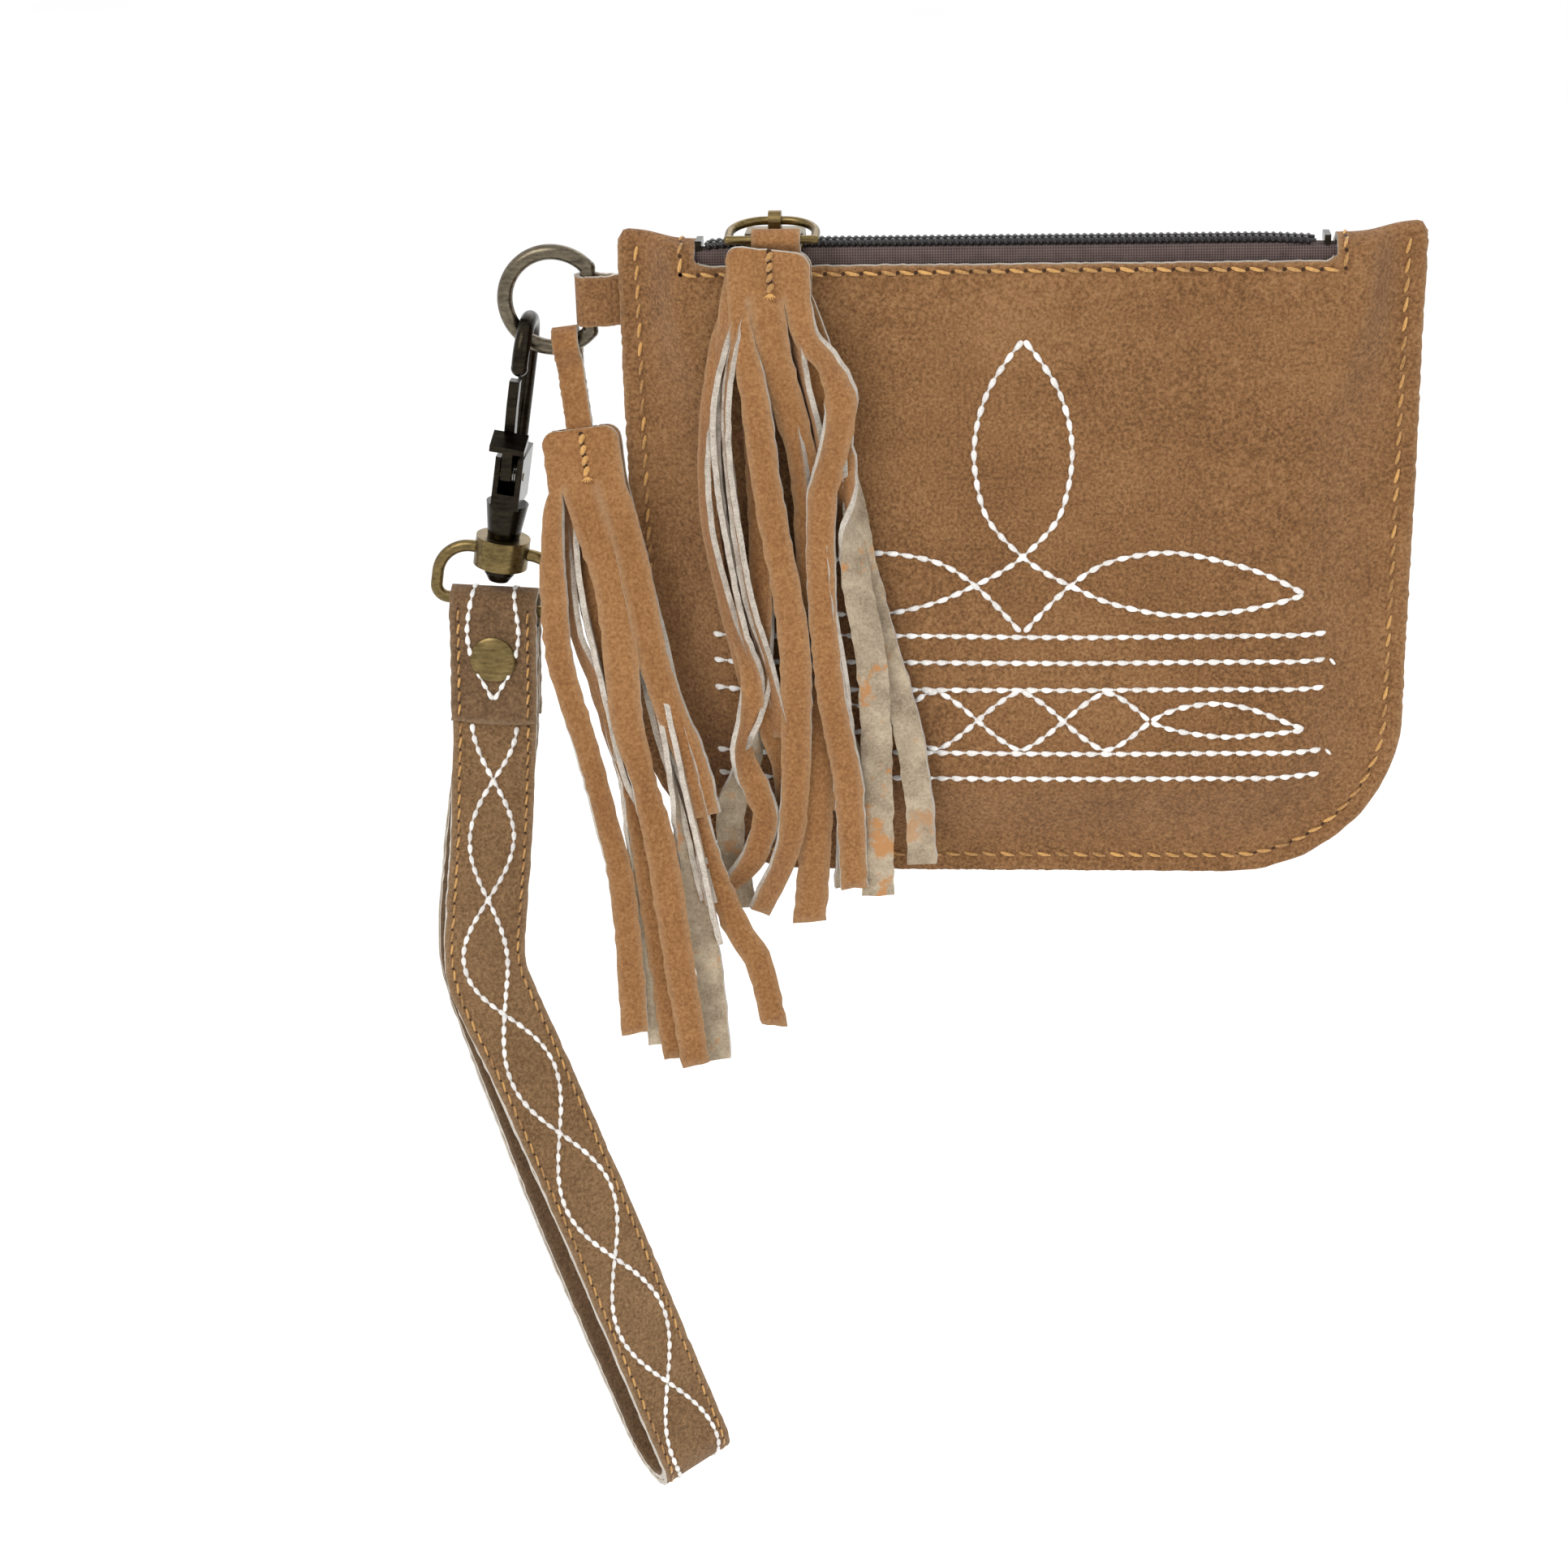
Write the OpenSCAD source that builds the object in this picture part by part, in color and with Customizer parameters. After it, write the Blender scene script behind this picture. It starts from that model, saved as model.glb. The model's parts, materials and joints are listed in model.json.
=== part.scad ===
/* [Pouch] */
// Width of the pouch, edge to edge
pouch_w = 152; // [130:1:180]
// Height of the pouch, fold to bottom seam
pouch_h = 132; // [110:1:150]
// Radius of the two bottom corners
corner_r = 34; // [20:1:45]
// How far the front face stands off the back face
pouch_depth = 9.4; // [8:0.2:14]
// Thickness of the suede
suede_t = 1.3; // [1:0.1:1.8]
// Thickness of the lining cloth
lining_t = 0.6; // [0.4:0.1:0.8]
// Inset of the seam stitching from the raw edge
seam_inset = 3.5; // [2.5:0.5:5]

/* [Zip] */
// Left end of the zip slot, from the left edge
slot_x0 = 15; // [14:1:25]
// Right end of the zip slot, from the left edge
slot_x1 = 134; // [110:1:136]
// Depth of the slot edge below the top fold
slot_drop = 5.5; // [5:0.5:7]
// Spacing of the coil teeth
tooth_pitch = 1.6; // [1.2:0.1:2]
// Centre of the slider along the zip
slider_x = 30.3; // [26:0.1:110]

/* [Pull and front tassel] */
// Wire diameter of the pull ring
pull_wire = 1.6; // [1.2:0.1:2]
// Outer width of the pull ring
pull_w = 17.8; // [14:0.2:20]
// Length of the front tassel below its ring
front_tassel_len = 143; // [110:1:160]
// Width of one suede strip
strip_w = 5; // [4:0.5:7]

/* [D ring and side tassel] */
// Wire diameter of the D ring
ring_wire = 3; // [2:0.2:3]
// Mean radius of the D ring's bow
ring_r = 9.3; // [8.5:0.1:10]
// Length of the side tassel below the D ring
side_tassel_len = 150; // [120:1:170]

/* [Snap hook] */
// Lean of the hook to the left at rest
hook_tilt = 10; // [6:1:14]
// Wire radius of the hook's bow
bow_wire = 1.6; // [1.3:0.1:1.8]
// Distance from the D ring wire to the loop bar
bar_drop = 55; // [53:0.5:58]

/* [Wrist strap] */
// Width of the strap
strap_w = 16.8; // [12:0.1:18]
// Lean of the strap's end on the loop bar
strap_tilt = 3; // [0:1:8]
// Length of the strap from loop bar to bottom bend
strap_len = 209; // [170:1:240]
// Thickness of one strap layer
strap_t = 1.2; // [0.9:0.1:1.5]
// Largest half gap between the two legs
strap_bow = 8; // [6:0.5:14]

/* [Hidden] */
$fn = 48;
grip_x = 15;
grip_z = 16;
y_back = 2;
y_front = y_back - pouch_depth;
y_seam_b = y_back - suede_t;
y_lin_b = y_seam_b - lining_t;
y_seam_f = y_lin_b - lining_t;
y_flange = y_seam_f - suede_t;
y_mid = (y_seam_b + y_seam_f) / 2;
y_in_f = y_front + suede_t;
y_lin_f = y_in_f + lining_t;
zip_y = (y_lin_f + y_lin_b) / 2;
coil_gap = 0.65;
coil_out = 2.5;
coil_top = -1.5;
tape_top = -3.3;
tape_t = 0.6;
// pull ring
pull_r = pull_wire / 2;
hinge_z = 1.7;
pull_leg = 3.1;
pull_q = pull_w / 2 - 1.6 - pull_r;
pull_depth = pull_q + pull_leg;
pull_ang = 10;
pbar_y = zip_y - pull_depth * cos(pull_ang);
pbar_z = hinge_z - pull_depth * sin(pull_ang);
// D ring
ring_wr = ring_wire / 2;
ring_cx = -13.2;
ring_cz = -13.7;
ring_bar_x = -6.2;
ring_half = acos((ring_bar_x - ring_cx) / ring_r);
ring_bar_h = ring_r * sin(ring_half);
side_ang = 285;
side_x = ring_cx + ring_r * cos(side_ang);
side_z = ring_cz + ring_r * sin(side_ang);
hook_ang = 234;
hook_x = ring_cx + ring_r * cos(hook_ang);
hook_z = ring_cz + ring_r * sin(hook_ang);
// hook
bow_top = 3.8;
bow_r = 6.4;
bow_z = bow_top - bow_r;
gate_y = -2.4;
gate_z = -27;
pin_r = 0.8;
stem_r = 2.4;
barrel_top = -40.6;
barrel_bot = -46.6;
// base loop
loop_wr = 1.2;
loop_hw = 12.2;
loop_q = 6.4;
loop_c = 2.4;
bar_z = -bar_drop;
// strap
flap_w = strap_w + 0.6;
flap_len = 24;
leg_y = strap_t;
fold_r = 3.7;
strap_n = 40;
bend_n = 12;
head0 = 0.09;

// moves the pouch drawing frame (top left corner at zero) to the grip point
module placed() {
  translate([-grip_x, 0, grip_z]) children();
}

// a flat slab from y = ya back to y = yb, drawn from a shape in the X-Z plane
module slab(ya, yb) {
  translate([0, max(ya, yb), 0]) rotate([90, 0, 0]) linear_extrude(abs(ya - yb)) children();
}

// a bar along X, drawn from a shape in the Y-Z plane
module along_x(xa, xb) {
  translate([xa, 0, 0]) rotate([90, 0, 90]) linear_extrude(xb - xa) children();
}

// pouch outline, drawn in by d all round and by top at the fold
module outline(d, top) {
  r = corner_r - d;
  translate([d, -(pouch_h - corner_r)]) square([pouch_w - 2 * d, pouch_h - corner_r - top]);
  translate([corner_r, -(pouch_h - d)]) square([pouch_w - 2 * corner_r, pouch_h - d - top]);
  translate([corner_r, -(pouch_h - corner_r)]) circle(r = r);
  translate([pouch_w - corner_r, -(pouch_h - corner_r)]) circle(r = r);
}

// the raised middle of the front, from inset da at y = ya to inset db at y = yb
module dish(da, ya, db, yb, top) {
  hull() {
    slab(ya, ya - 0.05) outline(da, top, $fn = 32);
    slab(yb + 0.05, yb) outline(db, top, $fn = 32);
  }
}

module slot_cut() {
  translate([slot_x0, -20, -slot_drop]) cube([slot_x1 - slot_x0, 40, 20]);
}

module front_panel() {
  color([0.62, 0.42, 0.25]) placed() difference() {
    union() {
      slab(y_seam_f, y_flange) outline(0, 0);
      dish(5, y_flange + 0.3, 11, y_front, 0);
    }
    dish(6.2, y_seam_f + 0.06, 12.2, y_in_f, suede_t);
    slot_cut();
  }
}

module back_panel() {
  color([0.6, 0.41, 0.25]) placed() difference() {
    slab(y_back, y_seam_b) outline(0, 0);
    slot_cut();
  }
}

module tab_notch() {
  translate([-1, -5, -18.7]) cube([9.2, 10, 10]);
}

module lining_front() {
  color([0.35, 0.27, 0.2]) placed() difference() {
    union() {
      slab(y_lin_b, y_seam_f) outline(1.5, 0.5);
      dish(6.3, y_seam_f, 12.3, y_in_f, suede_t);
    }
    dish(6.9, y_lin_b + 0.06, 12.9, y_lin_f, 0.1);
    translate([12, -20, -7]) cube([128, 40, 20]);
    tab_notch();
  }
}

module lining_back() {
  color([0.35, 0.27, 0.2]) placed() difference() {
    slab(y_seam_b, y_lin_b) outline(1.5, 0.5);
    translate([12, -20, -7]) cube([128, 40, 20]);
    tab_notch();
  }
}

// half of the zip tape: a band down the inside and a shelf under the coil
module tape_side(s) {
  along_x(13.4, 136.2) polygon([
    [zip_y + s * 2.8, -14], [zip_y + s * 2.8, tape_top], [zip_y + s * coil_gap, tape_top],
    [zip_y + s * coil_gap, tape_top - tape_t], [zip_y + s * 2.2, tape_top - tape_t],
    [zip_y + s * 2.2, -14]]);
}

module zip_tape_front() {
  color([0.16, 0.11, 0.12]) placed() tape_side(-1);
}

module zip_tape_back() {
  color([0.16, 0.11, 0.12]) placed() tape_side(1);
}

// one row of coil teeth as a comb
module coil_row(s) {
  n = floor((slot_x1 - slot_x0 - 3) / tooth_pitch);
  x0 = slot_x0 + 1.5;
  low = tape_top + 0.5;
  ya = zip_y + s * coil_gap;
  yb = zip_y + s * coil_out;
  slab(max(ya, yb), min(ya, yb)) polygon(concat(
    [[x0, tape_top], [x0, low]],
    [for (i = [0 : n - 1]) for (p = [[0.12, low], [0.32, coil_top], [0.86, coil_top], [1.06, low]])
      [x0 + i * tooth_pitch + p[0] + 0.2, p[1]]],
    [[x0 + n * tooth_pitch, low], [x0 + n * tooth_pitch, tape_top]]));
}

module zip_coil_front() {
  color([0.05, 0.05, 0.06]) placed() coil_row(-1);
}

module zip_coil_back() {
  color([0.05, 0.05, 0.06]) placed() coil_row(1);
}

module zip_stops() {
  color([0.35, 0.3, 0.2]) placed() {
    for (x = [slot_x0 + 0.2, slot_x1 - 1.4])
      translate([x, zip_y - 2.4, tape_top]) cube([1.2, 4.8, 1.7]);
  }
}

// suede tab folded round the D ring's straight bar and sewn into the side seam
module ring_tab() {
  color([0.6, 0.41, 0.25]) placed() {
    translate([ring_bar_x, y_mid, -18.5]) linear_extrude(9.6) difference() {
      union() {
        circle(r = ring_wr + 1.06);
        polygon([[0.6, 2.4], [-ring_bar_x, 0.6], [-ring_bar_x + 8, 0.6],
                 [-ring_bar_x + 8, -0.6], [-ring_bar_x, -0.6], [0.6, -2.4]]);
      }
      circle(r = ring_wr + 0.06);
    }
  }
}

module seam_thread() {
  color([0.85, 0.66, 0.36]) placed() difference() {
    slab(y_flange, y_flange - 0.3) outline(seam_inset - 0.3, 1);
    slab(y_flange + 1, y_flange - 1) outline(seam_inset + 0.3, -1);
  }
}

module slot_thread() {
  color([0.85, 0.66, 0.36]) placed() {
    translate([slot_x0 - 1.5, y_front - 0.3, -slot_drop - 2.2]) cube([slot_x1 - slot_x0 + 3, 0.3, 0.6]);
  }
}

// outline of a pointed leaf, len long and wid wide, standing on its tip
module leaf(len, wid, t) {
  a = len / 2;
  b = wid / 2;
  r = (a * a + b * b) / (2 * b);
  difference() {
    intersection() {
      translate([r - b, 0]) circle(r = r, $fn = 64);
      translate([b - r, 0]) circle(r = r, $fn = 64);
    }
    intersection() {
      translate([r - b, 0]) circle(r = r - t, $fn = 64);
      translate([b - r, 0]) circle(r = r - t, $fn = 64);
    }
  }
}

module boot_stitch() {
  cx = pouch_w / 2 + 0.5;
  color([0.93, 0.92, 0.9]) placed() slab(y_front, y_front - 0.3) {
    translate([cx, -41.7]) leaf(43, 18.8, 0.6);
    translate([cx, -71]) leaf(16.2, 18.3, 0.6);
    translate([cx + 32, -69.2]) rotate(90) leaf(46, 12.5, 0.6);
    translate([cx - 32, -69.2]) rotate(90) leaf(46, 12.5, 0.6);
    for (z = [-79.6, -85, -90.7, -104.2, -109.6]) translate([cx - 61, z - 0.3]) square([122, 0.6]);
    for (i = [-1, 0, 1]) translate([cx + i * 17, -97.4]) rotate(90) leaf(17.2, 11.8, 0.6);
    for (i = [-1, 1]) translate([cx + i * 40.6, -97.4]) rotate(90) leaf(30.6, 9, 0.6);
  }
}

// zip slider: top plate with side flanges, centre post, inner plate and a cross bridge
module slider_body() {
  l = 11;
  color([0.42, 0.36, 0.24]) placed() translate([slider_x, zip_y, 0]) {
    translate([-l / 2, -3.6, -1.2]) cube([l, 7.2, 1.1]);
    for (s = [-1, 1]) translate([-l / 2, s * 3.25 - 0.35, -3.0]) cube([l, 0.7, 1.9]);
    translate([l / 2 - 4, -0.45, -4.5]) cube([3, 0.9, 3.4]);
    translate([-l / 2, -1.9, -5.4]) cube([l, 3.8, 1]);
    difference() {
      union() {
        translate([-1.2, -1.9, -0.2]) cube([2.4, 3.8, hinge_z + 0.2]);
        translate([-1.2, 0, hinge_z]) rotate([0, 90, 0]) cylinder(r = 1.9, h = 2.4);
      }
      translate([-2, 0, hinge_z]) rotate([0, 90, 0]) cylinder(r = pull_r + 0.08, h = 4);
    }
  }
}

// a straight round bar from one point along X
module rod_x(r, xa, xb) {
  translate([xa, 0, 0]) rotate([0, 90, 0]) cylinder(r = r, h = xb - xa);
}

// quarter of a round wire bend in the X-Z plane, from angle a on
module bend(rad, wr, a, sweep) {
  rotate([90, 0, 0]) rotate([0, 0, a]) rotate_extrude(angle = sweep) translate([rad, 0]) circle(r = wr, $fn = 32);
}

// D shaped pull: hinge rod at the top, bar for the tassel at the bottom
module pull_ring() {
  color([0.45, 0.37, 0.22]) placed() translate([slider_x, zip_y, hinge_z]) rotate([-(90 - pull_ang), 0, 0]) {
    rod_x(pull_r, -1.6, 1.6);
    for (m = [0, 1]) mirror([m, 0, 0]) {
      translate([1.6, 0, -pull_q]) bend(pull_q, pull_r, 0, 90);
      translate([1.6 + pull_q, 0, -pull_depth]) cylinder(r = pull_r, h = pull_leg);
      translate([1.6 + pull_q, 0, -pull_depth]) sphere(r = pull_r);
    }
    translate([0, 0, -pull_depth]) rod_x(pull_r, -1.6 - pull_q, 1.6 + pull_q);
  }
}

// suede loop round a bar of radius br, hanging down to z = -len
module hang_loop(br, t, w, len) {
  along_x(-w / 2, w / 2) difference() {
    union() {
      circle(r = br + t);
      translate([-1.2, -len]) square([2.4, len]);
    }
    circle(r = br);
  }
}

// one layer of fringe in the X-Z plane: head, then n strips that fan out to half width hw
module fringe_layer(top, head, cuts, len, n, hw, shift) {
  k = 7.8;
  polygon([[-k + 1.5, -top], [k - 1.5, -top], [k, -top - 1.5], [k, -cuts], [-k, -cuts], [-k, -top - 1.5]]);
  for (i = [0 : n - 1]) {
    u = (i + 0.5) / n * 2 - 1;
    a = 2 * k / n / 2 - 0.15;
    e = strip_w / 2;
    l = len - 9 * abs(u) - 3 * (i % 2);
    polygon([[u * k - a, -cuts + 0.5], [u * k + a, -cuts + 0.5],
             [u * (hw - e) + shift + e, -l + 2], [u * (hw - e) + shift - e, -l]]);
  }
}

// frame of the front tassel: hangs from the pull's bar, leans back a little to the pouch
module at_front_tassel() {
  placed() translate([slider_x, pbar_y, pbar_z]) rotate([0.8, 0, 0]) children();
}

module tassel_front_loop() {
  color([0.63, 0.43, 0.26]) at_front_tassel() hang_loop(pull_r + 0.08, 1.2, 9, 9.5);
}

module tassel_front_fringe() {
  color([0.64, 0.44, 0.27]) at_front_tassel() translate([-1.2, 0, 0]) {
    for (y = [-2.4, 1.2]) slab(y, y + 1.2) fringe_layer(2.5, 0, 12, front_tassel_len, 5, 17.5, 5);
  }
}

module tassel_front_thread() {
  color([0.85, 0.66, 0.36]) at_front_tassel() translate([-1.2, -2.7, -11]) cube([0.6, 0.3, 7]);
}

module d_ring() {
  color([0.43, 0.38, 0.28]) placed() translate([0, y_mid, 0]) {
    translate([ring_cx, 0, ring_cz]) bend(ring_r, ring_wr, ring_half, 360 - 2 * ring_half);
    translate([ring_bar_x, 0, ring_cz - ring_bar_h]) cylinder(r = ring_wr, h = 2 * ring_bar_h);
    for (s = [-1, 1]) translate([ring_bar_x, 0, ring_cz + s * ring_bar_h]) sphere(r = ring_wr + 0.05);
  }
}

// frame of the side tassel: hangs from the D ring, leans on the front of the pouch
module at_side_tassel() {
  placed() translate([side_x, y_mid, side_z]) rotate([-10.5, 0, 0]) rotate([0, -7, 0]) children();
}

module tassel_side_loop() {
  color([0.63, 0.43, 0.26]) at_side_tassel() translate([0, 0, 0.15]) hang_loop(ring_wr + 0.9, 1.2, 5, 24);
}

module tassel_side_fringe() {
  color([0.64, 0.44, 0.27]) at_side_tassel() {
    for (y = [-2.4, 1.2]) slab(y, y + 1.2) fringe_layer(16, 0, 29, side_tassel_len, 5, 12.5, 0);
  }
}

module tassel_side_thread() {
  color([0.85, 0.66, 0.36]) at_side_tassel() translate([-0.3, -2.7, -27]) cube([0.6, 0.3, 9]);
}

// frame of the snap hook: origin on the D ring wire, Z along the hook
module at_hook() {
  placed() translate([hook_x, y_mid, hook_z]) rotate([0, hook_tilt, 0]) children();
}

// the bow's wire, drawn in the Y-Z plane
module bow_arc(a, sweep) {
  rotate([0, 0, 90]) bend(bow_r, bow_wire, a, sweep);
}

module hook_body() {
  color([0.13, 0.12, 0.1]) at_hook() {
    translate([0, 0, bow_z]) bow_arc(0, 196);
    translate([0, -bow_r * cos(16), bow_z - bow_r * sin(16)]) sphere(r = bow_wire + 0.05);
    translate([0, bow_r, -24.5]) cylinder(r = bow_wire + 0.05, h = bow_z + 24.5);
    difference() {
      union() {
        intersection() {
          translate([-2.75, -6, -33.5]) cube([5.5, 15, 10.5]);
          translate([0, 1.65, -40]) cylinder(r = 6.9, h = 20);
        }
        translate([0, 0, barrel_top + 0.2]) cylinder(r1 = 3.2, r2 = 4.2, h = -33.4 - barrel_top - 0.2);
      }
      translate([-1.7, -6, -30.4]) cube([3.4, 9.4, 8.4]);
      translate([-4, gate_y, gate_z]) rod_x(pin_r, 0, 8);
    }
  }
}

// stem that the loop turns on, with its riveted end
module swivel_post() {
  color([0.1, 0.1, 0.1]) at_hook() {
    translate([0, 0, barrel_bot - 0.2]) cylinder(r = stem_r, h = barrel_top - barrel_bot + 0.4);
    translate([0, 0, barrel_bot - 1.6]) cylinder(r = 3, h = 1.4);
    translate([0, 0, barrel_bot - 3.2]) cylinder(r1 = 2, r2 = 3, h = 1.6);
  }
}

// sprung lever: pivot eye, arm up to the nose and a thumb flange outside
module hook_gate() {
  color([0.16, 0.15, 0.12]) at_hook() difference() {
    union() {
      translate([0, gate_y, gate_z]) rod_x(1.9, -1.5, 0.5);
      slab_x(-1.5, 0.5) polygon([[gate_y - 1.9, gate_z], [gate_y + 1.9, gate_z], [-4.3, -12],
                                 [-4.7, -6.9], [-7.2, -6.9], [-7.2, -12]]);
      slab_x(-3.4, 3.4) polygon([[-6.4, -17.2], [-5.6, -19.4], [-10.6, -20.4], [-10.9, -19.2]]);
    }
    translate([-4, gate_y, gate_z]) rod_x(pin_r + 0.06, 0, 8);
  }
}

module slab_x(xa, xb) {
  along_x(xa, xb) children();
}

module gate_pin() {
  color([0.3, 0.28, 0.22]) at_hook() translate([0, gate_y, gate_z]) rod_x(pin_r, -2.9, 2.9);
}

module gate_spring() {
  color([0.6, 0.6, 0.6]) at_hook() translate([0, gate_y, gate_z]) {
    for (x = [0.85, 1.27]) translate([x, 0, 0]) rotate([0, 90, 0])
      rotate_extrude() translate([1.3, 0]) circle(r = 0.2, $fn = 16);
  }
}

// collar that turns on the stem, with the wire loop for the strap
module swivel_loop() {
  color([0.43, 0.36, 0.22]) at_hook() {
    difference() {
      translate([0, 0, barrel_bot]) cylinder(r = 5.4, h = barrel_top - barrel_bot);
      translate([0, 0, barrel_bot - 1]) cylinder(r = stem_r + 0.08, h = 8);
    }
    for (m = [0, 1]) mirror([m, 0, 0]) {
      zt = (barrel_top + barrel_bot) / 2;
      xq = loop_hw - loop_q;
      translate([xq, 0, zt]) rotate([0, -90, 0]) cylinder(r = loop_wr, h = 1.6);
      translate([xq, 0, zt - loop_q]) bend(loop_q, loop_wr, 0, 90);
      translate([loop_hw, 0, bar_z + loop_c]) cylinder(r = loop_wr, h = zt - loop_q - bar_z - loop_c);
      translate([loop_hw - loop_c, 0, bar_z + loop_c]) bend(loop_c, loop_wr, -90, 90);
    }
    translate([0, 0, bar_z]) rod_x(loop_wr, -loop_hw + loop_c, loop_hw - loop_c);
  }
}

// frame of the strap's upper end: origin on the loop bar, a little askew on it so that it hangs down
module at_strap() {
  placed() translate([bar_x, y_mid, bar_h]) rotate([0, strap_tilt, 0]) children();
}

// strap end folded over the loop bar, hanging down in front and behind
module strap_flap() {
  color([0.5, 0.38, 0.27]) at_strap() difference() {
    along_x(-flap_w / 2, flap_w / 2) difference() {
      union() {
        circle(r = fold_r);
        translate([-fold_r, -flap_len]) square([strap_t, flap_len]);
        translate([fold_r - strap_t, -flap_len]) square([strap_t, flap_len]);
      }
      hull() for (z = [-1.15, 1.15]) translate([0, z]) circle(r = loop_wr + 0.1);
    }
    translate([0, 10, -10.5]) rotate([90, 0, 0]) cylinder(r = 1.6, h = 20);
  }
}

module strap_end_filler() {
  color([0.55, 0.5, 0.45]) at_strap() difference() {
    translate([-strap_w / 2, -2.5, -16.6]) cube([strap_w, 5, 12.4]);
    translate([0, 10, bar_z - 10.5]) rotate([90, 0, 0]) cylinder(r = 1.6, h = 20);
  }
}

module rivet_cap() {
  color([0.5, 0.4, 0.22]) at_strap() translate([0, -fold_r, -10.5]) rotate([90, 0, 0]) {
    cylinder(r1 = 4.7, r2 = 4.3, h = 0.7);
    translate([0, 0, 0.7]) cylinder(r1 = 4.3, r2 = 2.4, h = 0.6);
  }
}

module rivet_post() {
  color([0.5, 0.4, 0.22]) at_strap() translate([0, fold_r, -10.5]) rotate([90, 0, 0])
    cylinder(r = 1.6, h = 2 * fold_r);
}

module rivet_back() {
  color([0.5, 0.4, 0.22]) at_strap() translate([0, fold_r + 0.8, -10.5]) rotate([90, 0, 0])
    cylinder(r = 4.2, h = 0.8);
}

function ease(t) = t <= 0 ? 0 : t >= 1 ? 1 : t * t * (3 - 2 * t);
// strap course: lean from the vertical after a share u of its length, with one bend
function lean(u) = strap_tilt + 5 * ease((u - 0.08) / 0.1) - 25 * ease((u - 0.33) / 0.1) - 1.5 * u * u;
bar_x = hook_x - bar_drop * sin(hook_tilt);
bar_h = hook_z - bar_drop * cos(hook_tilt);
step_n = 54;
// points of the strap's middle line, summed step by step
function walk(i, x, z) = i == 0 ? [[x, z]] :
  let (w = walk(i - 1, x, z), p = w[i - 1], a = lean((i - 0.5) / step_n), d = strap_len / step_n)
  concat(w, [[p[0] - d * sin(a), p[1] - d * cos(a)]]);
course = walk(step_n, bar_x, bar_h);
function mid(s) = let (f = min(step_n - 0.001, max(0, s / strap_len * step_n)), i = floor(f), g = f - i)
  course[i] * (1 - g) + course[i + 1] * g;
// half gap of the legs at distance s
function gap(s) = 1.3 + 2.7 * ease((s - 24) / 46) + (strap_bow - 4) * ease((s - 95) / 55);
s_top = 17;
s_end = strap_len - strap_bow;
// the loop as [distance, y] points: down the front leg, round the bend, up the back leg
loop_sy = concat(
  [for (i = [0 : strap_n]) let (s = s_top + (s_end - s_top) * i / strap_n) [s, -gap(s)]],
  [for (i = [1 : bend_n - 1]) let (a = 180 * i / bend_n) [s_end + strap_bow * sin(a), -strap_bow * cos(a)]],
  [for (i = [0 : strap_n]) let (s = s_end - (s_end - s_top) * i / strap_n) [s, gap(s)]]);
loop_n = len(loop_sy);
function tangent(i) = let (a = loop_sy[max(0, i - 1)], b = loop_sy[min(loop_n - 1, i + 1)], d = b - a) d / norm(d);

// one corner of the strap's section: w across the strap, t outward from the middle layer
function corner(i, w, t) = let (
  d = tangent(i),
  q = loop_sy[i] + t * [d[1], -d[0]],
  m = mid(q[0]),
  a = lean(q[0] / strap_len))
  [m[0] + w * cos(a), y_mid + q[1], m[1] - w * sin(a)];

// band along the loop: across from wa to wb plus a wave, from ta to tb outward; flip turns the
// diagonals of its facets, so that two layers meet along the same ones
module band(wa, wb, ta, tb, amp, i0, i1, flip = false) {
  n = i1 - i0 + 1;
  pts = [for (i = [i0 : i1]) let (o = amp * sin(360 * (i - i0) / 9))
    for (c = [[wa, ta], [wb, ta], [wb, tb], [wa, tb]]) corner(i, c[0] + o, c[1])];
  faces = concat([[3, 2, 1, 0]],
    [for (i = [0 : n - 2]) for (k = [0 : 3]) let (m = (k + 1) % 4)
      [i * 4 + k, i * 4 + m, (i + 1) * 4 + (flip ? k : m)]],
    [for (i = [0 : n - 2]) for (k = [0 : 3]) let (m = (k + 1) % 4)
      [i * 4 + (flip ? m : k), (i + 1) * 4 + m, (i + 1) * 4 + k]],
    [[(n - 1) * 4, (n - 1) * 4 + 1, (n - 1) * 4 + 2, (n - 1) * 4 + 3]]);
  polyhedron(points = pts, faces = faces, convexity = 6);
}

module strap_outer() {
  color([0.6, 0.42, 0.27]) placed() band(-strap_w / 2, strap_w / 2, 0, strap_t - 0.02, 0, 0, loop_n - 1);
}

module strap_lining() {
  color([0.55, 0.52, 0.48]) placed() band(-strap_w / 2, strap_w / 2, -strap_t, -0.04, 0, 0, loop_n - 1, true);
}

module strap_edge_thread() {
  color([0.85, 0.66, 0.36]) placed() {
    for (w = [-7.2, 6.6]) band(w, w + 0.6, strap_t + 0.01, strap_t + 0.28, 0, 3, loop_n - 4);
  }
}

module strap_wave_thread() {
  color([0.93, 0.92, 0.9]) placed() {
    band(-0.3, 0.3, strap_t + 0.01, strap_t + 0.28, 3.4, 3, strap_n);
  }
}

front_panel();
back_panel();
lining_front();
lining_back();
zip_tape_front();
zip_tape_back();
zip_coil_front();
zip_coil_back();
zip_stops();
ring_tab();
seam_thread();
slot_thread();
boot_stitch();
slider_body();
pull_ring();
tassel_front_loop();
tassel_front_fringe();
tassel_front_thread();
d_ring();
tassel_side_loop();
tassel_side_fringe();
tassel_side_thread();
hook_body();
swivel_post();
hook_gate();
gate_pin();
gate_spring();
swivel_loop();
strap_flap();
strap_end_filler();
strap_outer();
strap_lining();
rivet_cap();
rivet_post();
rivet_back();
strap_edge_thread();
strap_wave_thread();
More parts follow.
